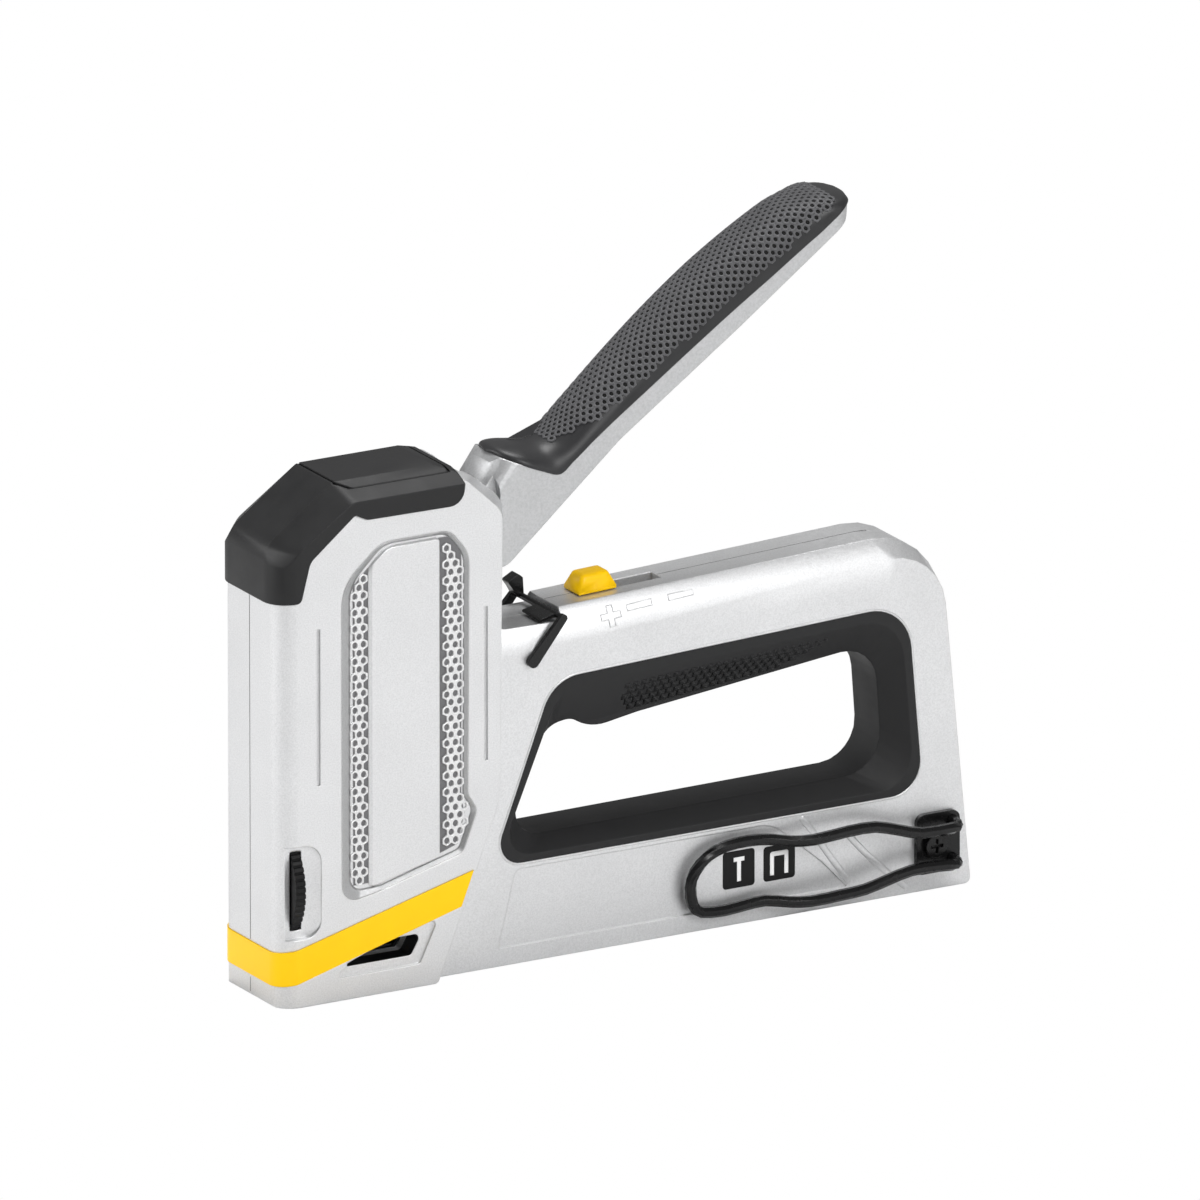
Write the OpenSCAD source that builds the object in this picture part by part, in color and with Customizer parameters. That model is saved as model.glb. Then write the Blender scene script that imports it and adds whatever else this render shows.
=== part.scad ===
// Heavy-duty hand staple gun: two die-cast housing halves, a long squeeze lever, a spring-driven
// striker, a bottom-loading staple magazine, and the small controls around them.
// X runs from the nose to the heel, Y across, Z up from the nose's underside. Millimetres.

/* [Head] */
// Width of the striker head
head_w = 30; // [27:0.5:34]
// Length of the head's flat side, nose to rear edge
head_len = 61.6; // [60:0.2:64]
// Radius of the head's front vertical edges
head_edge_r = 5.6; // [4:0.2:6.4]
// Wall thickness of the castings
wall = 2.2; // [1.8:0.1:2.4]
// Step of the chamfer round the head's rear edge
rim_chamfer = 1.7; // [1:0.1:2]

/* [Grip frame] */
// Width of the grip, heel column and base bar
frame_w = 22; // [20:0.5:24]
// Overall length at the base
body_len = 194.7; // [192:0.5:200]
// Height of the grip's top at its rear end
grip_top_z = 91.6; // [90:0.2:94]
// Radius of the rear top corner
heel_r = 19; // [15:0.5:21]
// Height of the long chamfer on the grip's shoulders
shoulder = 5; // [3:0.5:6]

/* [Hand opening] */
// Height of the opening's lower edge
opening_z = 30.4; // [29:0.2:32]
// Wall of the rubber liner below the hand opening
liner_wall = 5.2; // [4:0.2:5.6]

/* [Bump cap] */
// Height of the cap's flat top
cap_top_z = 129.6; // [129:0.1:131]
// Wall of the cap's skirt beside the head
cap_skin = 0.6; // [0.4:0.1:1.2]

/* [Lever] */
// Distance of the lever's pivot from the nose face
pivot_x = 53.4; // [52.8:0.1:54]
// Height of the lever's pivot
pivot_z = 119; // [118.6:0.1:119.2]
// Radius of the hollow that the lever's front has round its pivot
shoulder_r = 11; // [10.5:0.1:11.3]
// Width of the lever's frame
lever_w = 18; // [16:0.5:18.4]
// Width of the lever's rubber grip
lever_grip_w = 20; // [19:0.5:23]
// Distance of the lever's tip from the nose face
lever_end = 163.2; // [158:0.2:168]
// Radius of the lever's rounded front, seen from above
lever_nose_r = 8.4; // [6:0.2:8.8]
// Radius of the lever's pivot pin
pivot_pin_r = 3; // [2.5:0.1:3.5]
// Radius of the lifting roller
roller_r = 3.5; // [3.2:0.1:3.6]

/* [Striker] */
// Lift of the striker at full squeeze
striker_lift = 16.5; // [16.2:0.1:16.5]
// Thickness of the driver blade
blade_t = 1.2; // [1:0.1:1.3]
// Width of the driver blade, the staple's crown
blade_w = 11; // [10:0.2:11.4]
// Outer diameter of the main spring
spring_od = 11.6; // [10.6:0.2:11.8]
// Wire diameter of the main spring
spring_wire = 1.8; // [1.4:0.1:2]

/* [Guide dial] */
// Radius of the knurled guide dial
dial_r = 16.2; // [15.8:0.1:16.6]
// Thickness of the guide dial
dial_t = 2.6; // [2:0.1:2.7]
// Height of the dial's axis
dial_z = 29.3; // [29:0.1:29.8]

/* [Magazine] */
// Width of the staple channel
channel_w = 14; // [13.6:0.1:14.6]
// Thickness of the channel's sheet steel
channel_t = 1.1; // [0.8:0.1:1.2]
// Height of the channel's top
channel_top_z = 12.6; // [12.2:0.1:12.7]
// Travel of the pusher along the track
pusher_travel = 96; // [70:1:100]

/* [Controls] */
// Length of the power slider
slider_len = 10.4; // [9.6:0.2:12]
// Width of the power slider
slider_w = 7.4; // [6.6:0.2:9]
// Travel of the power slider
slider_travel = 14.6; // [10:0.2:15]
// Radius of the lever lock's round bar
bail_r = 0.8; // [0.6:0.1:1]

/* [Belt hook] */
// Diameter of the hook's wire
hook_wire_d = 2.9; // [2.4:0.1:3]
// Distance of the wire's middle from the centre plane
hook_y = 17.2; // [16.6:0.2:19]

/* [Hidden] */
$fn = 48;

alu = [0.86, 0.87, 0.88];
steel = [0.66, 0.67, 0.69];
dark_steel = [0.36, 0.37, 0.39];
rubber = [0.2, 0.2, 0.21];
black = [0.08, 0.08, 0.09];
yellow = [0.99, 0.8, 0.05];

head_y = head_w / 2;
frame_y = frame_w / 2;
rim_y = head_y - 3;
head_in = head_y - wall;
frame_in = frame_y - wall;
run = 0.3;            // gap between pieces that move past each other
fit = 0.05;           // radial clearance of a pin in its bore
eps = 0.01;

// ---- outlines -------------------------------------------------------------------------------

function unit(v) = v / norm(v);
function turn(a) = a > 180 ? a - 360 : a < -180 ? a + 360 : a;

// One corner c between p and q, rounded to radius r in n steps.
function corner(p, c, q, r, n) = r <= 0 ? [c] :
    let (u = unit(p - c), v = unit(q - c), half = acos(u * v) / 2,
         reach = r / tan(half), m = c + unit(u + v) * r / sin(half),
         a = c + u * reach - m, b = c + v * reach - m,
         a0 = atan2(a.y, a.x), sweep = turn(atan2(b.y, b.x) - a0))
    [for (i = [0 : n]) m + r * [cos(a0 + sweep * i / n), sin(a0 + sweep * i / n)]];

// A closed outline of [x, y, radius] points with its corners rounded.
function rounded(pts, n = 5) = let (k = len(pts))
    [for (i = [0 : k - 1]) each corner([pts[(i + k - 1) % k].x, pts[(i + k - 1) % k].y],
        [pts[i].x, pts[i].y], [pts[(i + 1) % k].x, pts[(i + 1) % k].y], pts[i][2], n)];

// The same outline with every side moved inwards by d; the points run anticlockwise.
function inset(pts, d) = let (k = len(pts))
    [for (i = [0 : k - 1])
        let (p = [pts[(i + k - 1) % k].x, pts[(i + k - 1) % k].y], c = [pts[i].x, pts[i].y],
             q = [pts[(i + 1) % k].x, pts[(i + 1) % k].y], u = unit(c - p), v = unit(q - c),
             nu = [-u.y, u.x], nv = [-v.y, v.x], shift = d * (nu + nv) / (1 + nu * nv))
        [c.x + shift.x, c.y + shift.y, max(0, pts[i][2] - d)]];

// A side outline given thickness from y0 to y1.
module slab(y0, y1) translate([0, y1, 0]) rotate([90, 0, 0]) linear_extrude(y1 - y0) children();
module cross_pin(r, y0, y1) translate([0, y0, 0]) rotate([-90, 0, 0]) cylinder(r = r, h = y1 - y0);
module at(x, z) translate([x, 0, z]) children();
module both_sides() { children(); mirror([0, 1, 0]) children(); }

// The two triangles of a four-sided face.
function halves(f) = [[f[0], f[1], f[2]], [f[0], f[2], f[3]]];

// A round wire wound into a coil along +Z, as one swept mesh.
module coil(r, wire, length, turns, steps = 12, sides = 6) {
    n = ceil(turns * steps);
    rings = [for (i = [0 : n]) let (a = 360 * turns * i / n, z = length * i / n)
        [for (j = [0 : sides - 1]) let (b = 360 * j / sides, d = r + wire / 2 * cos(b))
            [d * cos(a), d * sin(a), z + wire / 2 * sin(b)]]];
    walls = [for (i = [0 : n - 1], j = [0 : sides - 1]) let (k = (j + 1) % sides)
        each halves([i * sides + j, (i + 1) * sides + j, (i + 1) * sides + k, i * sides + k])];
    polyhedron([for (ring = rings) each ring],
        [each walls, [for (j = [0 : sides - 1]) j], [for (j = [sides - 1 : -1 : 0]) n * sides + j]]);
}

// ---- castings -------------------------------------------------------------------------------

// Head, seen from the side. The nose tapers forwards to its foot.
foot_x = 43.6;
toe_x = 4.5;
head_top_z = cap_top_z - 3;
head_pts = [[0, 0, 0.6], [foot_x, 0, 1.5], [head_len - 0.8, 44, 14], [head_len, 117, 5],
    [pivot_x - 2, head_top_z, 3], [15, head_top_z, 8], [0, 109, 8]];
rim_pts = [[0.2, 0.2, 0.6], [foot_x + 1.6, 0.2, 1.5], [head_len + rim_chamfer - 0.8, 43.6, 14],
    [head_len + rim_chamfer, 119, 7], [pivot_x + 1, cap_top_z - 3, 3], [18, cap_top_z - 3.6, 8],
    [2, 112, 6]];

// Grip frame, seen from the side: its flanks, and the narrower crown of its top and back.
grip_front_z = grip_top_z - 5;
flank_pts = [[30, 0, 0], [body_len, 0, 1.5], [body_len - 8.6, grip_top_z - shoulder + 0.6, heel_r - 4],
    [58, grip_front_z - shoulder - 3.4, 0], [30, 60, 0]];
crown_pts = [[30, 0.6, 0], [body_len - 0.6, 0.6, 1.5], [body_len - 8.2, grip_top_z, heel_r],
    [58, grip_front_z, 0], [30, 60, 0]];
crown_y = frame_y - 4;

// Rubber liner's outer rim and the opening through it.
rim_low_z = opening_z - liner_wall;
liner_pts = [[60.2, rim_low_z, 6], [body_len - 13.2, rim_low_z, 8.5], [body_len - 17.6, 74.5, 12], [77.7, 70.9, 11]];
window_pts = [[66.2, opening_z, 7], [body_len - 22.1, opening_z + 0.8, 10], [body_len - 24.5, 63.9, 9],
    [104, 56.9, 20], [91, 54.8, 12], [85, 58.6, 5], [77.2, 57.6, 8]];
flare_pts = [[62.6, rim_low_z + 2, 6], [body_len - 15.7, rim_low_z + 2, 9], [body_len - 19.7, 71.4, 11],
    [79.6, 67.6, 10]];
throat_pts = [[66.4, opening_z + 0.1, 7], [body_len - 22.3, opening_z + 0.9, 10], [body_len - 24.7, 63.6, 9],
    [78.2, 56, 8]];

module head_solid(d) {
    intersection() {
        hull() {
            slab(-head_y + d, head_y - d) polygon(rounded(inset(head_pts, d)));
            slab(-rim_y + d / 2, rim_y - d / 2) polygon(rounded(inset(rim_pts, d)));
        }
        translate([0, 0, -1]) linear_extrude(140)
            polygon(rounded([[d, -head_y, head_edge_r], [80, -head_y, 0], [80, head_y, 0],
                [d, head_y, head_edge_r]], 8));
    }
}

module frame_solid(d) {
    hull() {
        slab(-frame_y + d, frame_y - d) polygon(rounded(inset(flank_pts, d), 6));
        slab(-crown_y + d / 2, crown_y - d / 2) polygon(rounded(inset(crown_pts, d), 6));
    }
}

// Screw places: each has a boss in both halves. [x, z]
screw_at = [[27.5, 62], [55, 56], [24.5, 36], [body_len - 16.1, 79.6], [body_len - 8.7, 30], [112, 19.4]];
screw_r = 1.5;
boss_r = 3.4;
counter_r = 2.9;
counter_depth = 2.6;

// The lever's slot in the head's roof and rear wall.
slot_y = lever_w / 2 + 0.4;
roof_slot_y = 8;
pin_half = head_y - 1.4;

// Power slider's place on the grip.
grip_slope = atan((grip_top_z - grip_front_z) / (body_len - 8.2 - 58));
slider_x = 94.4;
slot_half = 2.6;
stem_half = slot_half - run;
stem_len = 7;

// Lever lock's pivot and bar.
bail_pivot = [71.7, 76.4];
bail_bar = [80, 86.2];
bail_pin_r = 1.2;
bail_y = frame_y + run;
bail_leg = 1.2;
bail_floor = bail_bar.y - bail_r - 0.9;
bail_bay_x = bail_bar.x + bail_r + 0.4;

// Dial chamber.
blade_front_x = wall + 0.1;
block_x = blade_front_x + blade_t;
dial_x = block_x + run;
plate_x = dial_x + dial_t + run;
plate_t = 1.6;
channel_len = body_len - 12 - plate_x;
seat_x = 16.2;
seat_z = 104;
seat_t = 3;

// Slanted line of the nose band along the head's foot.
band_slope = 0.2585;
band_top = 13.5;
band_low = 5.1;
band_end = 53.4;
band_sink = 0.9;
function band_outline(grow = 0) = [[-2, band_low - grow], [toe_x, band_low + toe_x * 0.2 - grow],
    [band_end - 3.4 + grow, band_low + 0.6 + (band_end - 3.4) * band_slope - grow],
    [band_end + grow, band_top + band_end * band_slope + grow], [toe_x, band_top + toe_x * 0.25 + grow],
    [-2, band_top + grow]];

panel_pts = [[17, 24.1, 4], [28, 26.2, 6], [50.6, 32.2, 3], [54.6, 42.6, 3], [52, 46.8, 3],
    [52.4, 108, 8], [47, 114.6, 5], [28, 114.6, 8], [17, 105, 12]];
refill_pts = [[15.4, 8.2, 0.6], [36.4, 8.2, 1.2], [39.4, 13.4, 1.2], [30, 13.4, 2]];
recess_pts = [[13.6, 5.8, 0.8], [38.6, 5.8, 1.2], [43.8, 16.6, 1.2], [31, 14.6, 2]];
label_pts = [[62.5, 4.6, 0.5], [160, 4.6, 0], [153, 12, 14], [139, 24, 10], [67.5, 24, 2]];
groove_half = 0.45;

module dial_disc(r, x0, x1) translate([x0, 0, dial_z]) rotate([0, 90, 0]) cylinder(r = r, h = x1 - x0, $fn = 72);

// Scallop round the dial's edge, on one side.
module dial_scoop() {
    deep = 1.9;
    reach = 12.6;
    intersection() {
        translate([dial_x + dial_t / 2, -head_y - reach + deep, 0]) cylinder(r = reach, h = 60, $fn = 96);
        slab(-head_y - 6, -head_y + 6)
            polygon(rounded([[-3, 17.2, 4.6], [11.4, 17.2, 4.6], [11.4, 40.8, 4.6], [-3, 40.8, 4.6]], 6));
    }
}

// Bump cap: a flat ridge, sloping shoulders and a skirt that laps the head.
cap_end = 51;
ridge_y = 8.8;
flank_top = cap_top_z - 3.8;
cap_flank = [[-cap_skin, 94, 0], [56, 94, 0], [56, flank_top, 0], [20, flank_top, 4], [5.5, 115.8, 6],
    [-cap_skin, 106.5, 0]];
cap_ridge = [[-cap_skin - 0.4, 95, 0], [56.5, 95, 0], [56.5, cap_top_z - 2.4, 0], [46, cap_top_z, 2],
    [18, cap_top_z, 3], [-cap_skin - 0.4, 115.6, 6]];
cap_plan_r = head_edge_r + cap_skin + 0.8;
cap_plan = [[-cap_skin - 0.4, -head_y - cap_skin, cap_plan_r], [70, -head_y - cap_skin, 0],
    [70, head_y + cap_skin, 0], [-cap_skin - 0.4, head_y + cap_skin, cap_plan_r]];
cap_edge = [[-6, 102, 0], [5.6, 102.6, 1.5], [8.2, 112.6, 4], [20.6, 122.6, 1], [24, 120.9, 1.5],
    [cap_end - 0.6, 120.6, 4], [cap_end, 126, 3], [cap_end - 1.4, 140, 0], [-6, 140, 0]];

// Facetted form of the cap, d inside its surface.
module cap_form(d) intersection() {
    hull() {
        slab(-head_y - cap_skin - 0.05 + d, head_y + cap_skin + 0.05 - d) polygon(rounded(inset(cap_flank, d), 4));
        slab(-ridge_y + d / 2, ridge_y - d / 2) polygon(rounded(inset(cap_ridge, d), 4));
    }
    translate([0, 0, 80]) linear_extrude(70) polygon(rounded(inset(cap_plan, d), 8));
}

// Everything that the cap takes up or covers, seen from the side.
module cap_zone() slab(-head_y - 3, head_y + 3) polygon(rounded(cap_edge));

// Top of the head under the cap.
module cap_seat() intersection() {
    cap_form(cap_skin + cap_rebate);
    translate([-5, -30, 90]) cube([80, 60, head_top_z - cap_rebate - 90]);
}

module cap_solid() intersection() {
    cap_form(0);
    cap_zone();
}

module outer_cuts() {
    slab(-30, 30) polygon(rounded(liner_pts, 6));
    both_sides() {
        slab(-head_y - 1, -head_y + 0.8) polygon(rounded(panel_pts));
        slab(-head_y - 1, -head_y + 0.6) polygon(rounded(recess_pts));
        slab(-head_y - 1, -channel_w / 2 + 1) polygon(rounded(refill_pts));
        translate([10.7 - groove_half, -head_y - 1, 55.6]) cube([groove_half * 2, 1.7, 39.5]);
        translate([57 - groove_half, -head_y - 1, 54.6]) cube([groove_half * 2, 1.7, 39.1]);
        slab(-frame_y - 1, -frame_y + 0.5) polygon(rounded(label_pts));
        dial_scoop();
    }
    // Bay in the grip's crown for the lock's bar.
    slab(-frame_y - 1, frame_y + 1) polygon(rounded([[head_len + rim_chamfer, bail_floor, 3],
        [bail_bay_x, bail_floor, 0.6], [bail_bay_x + 0.8, bail_floor + 8, 0], [head_len + rim_chamfer, bail_floor + 8, 0]]));
    // Seat of the nose band, round three sides of the foot.
    difference() {
        slab(-head_y - 1, head_y + 1) polygon(band_outline());
        band_core(0);
    }
    // Slots for the dial's edge.
    dial_disc(dial_r + run, dial_x - run, dial_x + dial_t + run);
}

module band_core(grow) {
    translate([0, 0, -1]) linear_extrude(60)
        polygon(rounded([[band_sink - grow, -head_y + band_sink - grow, head_edge_r - band_sink],
            [90, -head_y + band_sink - grow, 0], [90, head_y - band_sink + grow, 0],
            [band_sink - grow, head_y - band_sink + grow, head_edge_r - band_sink]], 8));
}

module casting() {
    difference() {
        union() {
            head_solid(0);
            frame_solid(0);
        }
        difference() {
            cap_zone();
            cap_seat();
        }
        cavity();
        outer_cuts();
        inner_cuts();
    }
}

// Room inside the two halves. Bosses, ribs and seats are left standing in it.
module cavity() {
    difference() {
        union() {
            intersection() {
                head_solid(wall);
                union() {
                    cap_form(cap_skin + wall);
                    translate([-5, -30, -5]) cube([70, 60, 107]);
                    translate([cap_end - cap_rebate, -30, 90]) cube([20, 60, 50]);
                }
            }
            frame_solid(wall);
        }
        // wall round the liner
        slab(-frame_y, frame_y) polygon(rounded(inset(liner_pts, -1.8), 6));
        // screw bosses
        for (p = screw_at) at(p.x, p.y) cross_pin(boss_r, -head_y, head_y);
        // pivot bosses beside the lever's hub
        both_sides() at(pivot_x, pivot_z) cross_pin(shoulder_r - 1, -head_y, -7.4);
        // stops above the spring seat
        both_sides() translate([0, -head_y, seat_z + seat_t]) cube([seat_x, head_y - 7.6, 2.4]);
        // web between the dial chamber and the striker's bumper
        both_sides() translate([block_x + run, -head_y, bumper_z - 1.2]) cube([22, head_y - 3, 1.2]);
        // rail above the staple channel, and the floor under its sides
        translate([plate_x, -head_y, channel_top_z]) cube([channel_len, head_w, 1.6]);
        translate([plate_x, -head_y, 0]) cube([channel_len, head_w, channel_top_z]);
        // heel block behind the channel
        translate([plate_x + channel_len - 0.4, -frame_y, 0]) cube([20, frame_w, 17]);
        // floor under the bail's bay
        translate([head_len, -frame_y, bail_floor - wall]) cube([bail_bay_x + wall - head_len, frame_w, 8]);
        // bail bosses
        both_sides() at(bail_pivot.x, bail_pivot.y) cross_pin(3.6, -frame_y, -frame_y + 4.4);
    }
}

module inner_cuts() {
    // staple channel with its track, open below
    translate([plate_x - 4, -channel_w / 2, 0.8]) cube([channel_len + 4, channel_w, channel_top_z - 0.8]);
    translate([blade_front_x - 1, -channel_w / 2 + channel_t, -1])
        cube([plate_x + channel_len - 8, channel_w - 2 * channel_t, 4]);
    translate([plate_x, -latch_half - run, 1.2]) cube([channel_len + 40, 2 * (latch_half + run), 11]);
    // nose: front plate and blade way
    translate([1.2, -channel_w / 2, -1]) cube([plate_x - 1, channel_w, 46]);
    // lever's slot in roof and rear wall
    translate([44, -roof_slot_y, 96]) cube([24, 2 * roof_slot_y, 40]);
    intersection() {
        translate([pivot_x - 6, -slot_y, 94]) cube([24, 2 * slot_y, 40]);
        difference() {
            at(pivot_x, pivot_z) cross_pin(60, -20, 20);
            at(pivot_x, pivot_z) cross_pin(shoulder_r - 1.2, -20, 20);
        }
    }
    // lever pin
    at(pivot_x, pivot_z) cross_pin(pivot_pin_r, -pin_half, pin_half);
    // power slider's slot
    grip_line(slider_x) translate([-stem_len / 2 - run, -slot_half, -8])
        cube([stem_len + slider_travel + 2 * run, 2 * slot_half, 12]);
    // bail pins
    both_sides() at(bail_pivot.x, bail_pivot.y) cross_pin(bail_pin_r + fit, -frame_y - 1, -frame_y + 3.6);
}

screw_depth = 6;
function screw_head_y(p) = (p.x < head_len ? head_y : frame_y) - counter_depth;
latch_half = 5.6;
hook_screw_at = [body_len - 11.1, 11.8];

// A point of the grip's crown, with X along its slope.
module grip_line(x) translate([x, 0, grip_front_z + (x - 58) * tan(grip_slope)])
    rotate([0, -grip_slope, 0]) children();

// Each half is made on the near side of the centre plane.
module half_casting() intersection() {
    casting();
    translate([-10, -40, -10]) cube([230, 40, 160]);
}

module near_housing() color(alu) difference() {
    half_casting();
    for (p = screw_at) at(p.x, p.y) cross_pin(screw_r, -screw_depth, 1);
    at(hook_screw_at.x, hook_screw_at.y) cross_pin(screw_r, -frame_y - 1, -channel_w / 2 - 0.2);
}

module far_housing() color(alu) mirror([0, 1, 0]) difference() {
    half_casting();
    for (p = screw_at) at(p.x, p.y) {
        cross_pin(screw_r, -head_y - 1, 1);
        cross_pin(counter_r, -head_y - 1, -screw_head_y(p));
    }
}

module bump_cap() color(rubber) difference() {
    cap_solid();
    cap_seat();
    cap_tray(tray_gap);
}
cap_rebate = 0.8;
tray_gap = 0.7;
tray_depth = 1.6;

// Flat plate let into the top of the cap.
module cap_tray(grow) {
    translate([0, 0, cap_top_z - tray_depth]) linear_extrude(tray_depth + 1)
        polygon(rounded([[18.7 - grow, -9 - grow / 2, 0.6], [23 - grow / 2, -12 - grow, 0.6],
            [cap_end - 2.6 + grow, -12 - grow, 0.6], [cap_end - 2.6 + grow, 12 + grow, 0.6], [23 - grow / 2, 12 + grow, 0.6],
            [18.7 - grow, 9 + grow / 2, 0.6]], 3));
}
module cap_insert() color(rubber) intersection() {
    cap_tray(0);
    cap_form(0);
}

module nose_band() color(yellow) difference() {
    intersection() {
        slab(-head_y - 1, head_y + 1) polygon(band_outline());
        translate([0, 0, -1]) linear_extrude(60)
            polygon(rounded([[-band_proud, -head_y - band_proud, head_edge_r], [90, -head_y - band_proud, 0],
                [90, head_y + band_proud, 0], [-band_proud, head_y + band_proud, head_edge_r]], 8));
    }
    band_core(0);
}
band_proud = 0.25;

module window_liner() color(rubber) difference() {
    slab(-frame_y, frame_y) polygon(rounded(liner_pts, 6));
    slab(-frame_y - 1, frame_y + 1) polygon(rounded(window_pts, 6));
    both_sides() hull() {
        slab(-frame_y - eps, -frame_y) polygon(rounded(flare_pts));
        slab(-frame_y + 4.6, -frame_y + 5) polygon(rounded(throat_pts));
    }
}

module housing_screws() color(dark_steel) for (p = screw_at) at(p.x, p.y) difference() {
    union() {
        cross_pin(screw_r - fit, -screw_depth + run, screw_head_y(p) + eps);
        cross_pin(counter_r - 0.2, screw_head_y(p), screw_head_y(p) + 1.9);
    }
    for (a = [0, 90]) rotate([0, a, 0]) translate([-0.4, screw_head_y(p) + 0.9, -1.5]) cube([0.8, 2, 3]);
}

module front_plate() color(steel)
    translate([1.2, -channel_w / 2 + fit, 0.3]) cube([blade_front_x - 1.3, channel_w - 2 * fit, 44]);

module back_plate() color(steel) difference() {
    translate([plate_x, -head_in, channel_top_z + 1.6]) cube([plate_t, 2 * head_in, 30]);
    translate([plate_x - 1, 0, dial_z]) rotate([0, 90, 0]) cylinder(r = stud_r, h = plate_t + 2);
}
stud_r = 2.5;

module dial_stud() color(dark_steel) translate([0, 0, dial_z]) rotate([0, 90, 0]) {
    translate([0, 0, dial_x - 0.2]) cylinder(r = stud_r, h = plate_x + plate_t + 0.8 - dial_x);
    translate([0, 0, plate_x + plate_t]) cylinder(r = stud_r + 1.5, h = 1.4);
}

module guide_dial() color(black) difference() {
    dial_disc(dial_r, dial_x, dial_x + dial_t);
    dial_disc(stud_r + fit, dial_x - 1, dial_x + dial_t + 1);
    for (a = [0 : dial_pitch : 359]) translate([dial_x - 1, 0, dial_z]) rotate([a, 0, 0])
        translate([0, 0, dial_r + 0.15]) rotate([45, 0, 0]) translate([0, -0.4, -0.4]) cube([dial_t + 2, 0.8, 0.8]);
}
dial_pitch = 6;

module spring_seat() color(steel) difference() {
    translate([0, 0, seat_z]) linear_extrude(seat_t)
        polygon(rounded([[wall + run, -head_in, cap_plan_r - wall], [seat_x, -head_in, 0],
            [seat_x, head_in, 0], [wall + run, head_in, cap_plan_r - wall]], 8));
    translate([spring_x, 0, seat_z - 1]) cylinder(r = 2, h = seat_t + 2);
}

module bumper() color(rubber) translate([block_x + 0.2, -7, bumper_z]) cube([15, 14, 3]);
bumper_z = dial_z + dial_r + run + 1.3;
block_z = bumper_z + 3.1;
spring_x = block_x + 6.9;
strap_x = seat_x + run;
strap_t = 2.2;
block_h = 11;

module main_spring() color(steel)
    translate([spring_x, 0, block_z + block_h + spring_wire / 2])
        coil(spring_od / 2 - spring_wire / 2, spring_wire, seat_z - block_z - block_h - spring_wire, 9);

module striker_block() color(dark_steel) difference() {
    union() {
        translate([block_x, -7, block_z]) cube([strap_x + strap_t - block_x, 14, block_h]);
        translate([strap_x, -6, block_z]) cube([strap_t, 12, shelf_z + shelf_t - block_z]);
        translate([strap_x, -6, shelf_z]) cube([14.3, 12, shelf_t]);
    }
    for (y = [-3.2, 3.2]) translate([block_x - 1, y, block_z + 5.5]) rotate([0, 90, 0])
        cylinder(r = 1.4, h = 30);
}
arm_angle = 217;
arm_len = 30;
roller_at = [pivot_x + arm_len * cos(arm_angle), pivot_z + arm_len * sin(arm_angle)];
shelf_z = roller_at.y + roller_r + 0.2;
shelf_t = 2.5;

module driver_blade() color(steel) difference() {
    union() {
        translate([blade_front_x, -blade_w / 2, 0.5]) cube([blade_t, blade_w, block_z]);
        translate([blade_front_x, -7, block_z]) cube([blade_t, 14, block_h]);
    }
    for (y = [-3.2, 3.2]) translate([blade_front_x - 1, y, block_z + 5.5]) rotate([0, 90, 0])
        cylinder(r = 1.4, h = 4);
}

module striker_rivets() color(steel) for (y = [-3.2, 3.2])
    translate([blade_front_x, y, block_z + 5.5]) rotate([0, 90, 0])
        cylinder(r = 1.4, h = strap_x + strap_t - blade_front_x + 0.6);

module lever_pin() color(steel) at(pivot_x, pivot_z) cross_pin(pivot_pin_r, -pin_half, pin_half);

module pin_clips() color(dark_steel) both_sides() at(pivot_x, pivot_z) difference() {
    cross_pin(pivot_pin_r + 1.6, -7.35, -7.05);
    cross_pin(pivot_pin_r, -8, -6);
}

module spring_anchor() color(steel) at(anchor_at.x, anchor_at.y) cross_pin(1.5, -head_in, head_in);

module return_spring() color(steel) {
    low = anchor_at.y + 2.15;
    translate([anchor_at.x, 0, low]) coil(2.6, 0.8, lug_z + 0.4 - low, 10, 10, 5);
}
arm_mid = [42, 101];
anchor_at = [arm_mid.x + 1, 72];
lug_z = arm_mid.y - 6;

// Outline of a link with round ends: circles of radius ra at a and rb at b, and their tangents.
function link(a, ra, b, rb, n = 10) =
    let (d = b - a, base = atan2(d.y, d.x), k = acos((ra - rb) / norm(d)))
    [for (i = [0 : n]) let (t = base + k + (360 - 2 * k) * i / n) a + ra * [cos(t), sin(t)],
     for (i = [0 : n]) let (t = base - k + 2 * k * i / n) b + rb * [cos(t), sin(t)]];

// Lever's frame behind the pivot: its underside and the line where the rubber starts.
lever_root = [[pivot_x + 7.2, 122.2, 1], [50, 119, 0], [57, 101.5, 4], [65.6, 100.2, 6], [97.6, 127.9, 20],
    [131, 151.3, 0], [lever_end - 2, 173.4, 2.5], [lever_end - 1, 178.6, 0.8], [lever_end - 3.8, 178.1, 0],
    [136, 161.7, 0], [91.4, 130.4, 30], [80.2, 121.9, 3], [65.8, 127.5, 0.3], [pivot_x + 10.4, 126.2, 1.5]];
grip_pocket = [[70, 108, 5], [97, 130.4, 0], [131, 154.4, 0], [154, 171, 2], [151, 176, 0],
    [136, 166, 0], [91.4, 135, 0], [80, 126, 0], [70, 134, 0]];
neck_y = 6.8;

// The lever's form from above. Its front is rounded at the top and square lower down, and its tip is round.
module lever_plan(half, front, nose_r) {
    tip_r = 5.5;
    module layer(z, high, x, r) translate([0, 0, z]) linear_extrude(high)
        polygon(rounded([[x, -half, r], [lever_end, -half, tip_r], [lever_end, half, tip_r], [x, half, r]], 8));
    layer(128.4, 62, front, nose_r);
    hull() {
        layer(128, 0.5, front, nose_r);
        layer(99, 0.5, front - 17, 1);
    }
}

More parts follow.
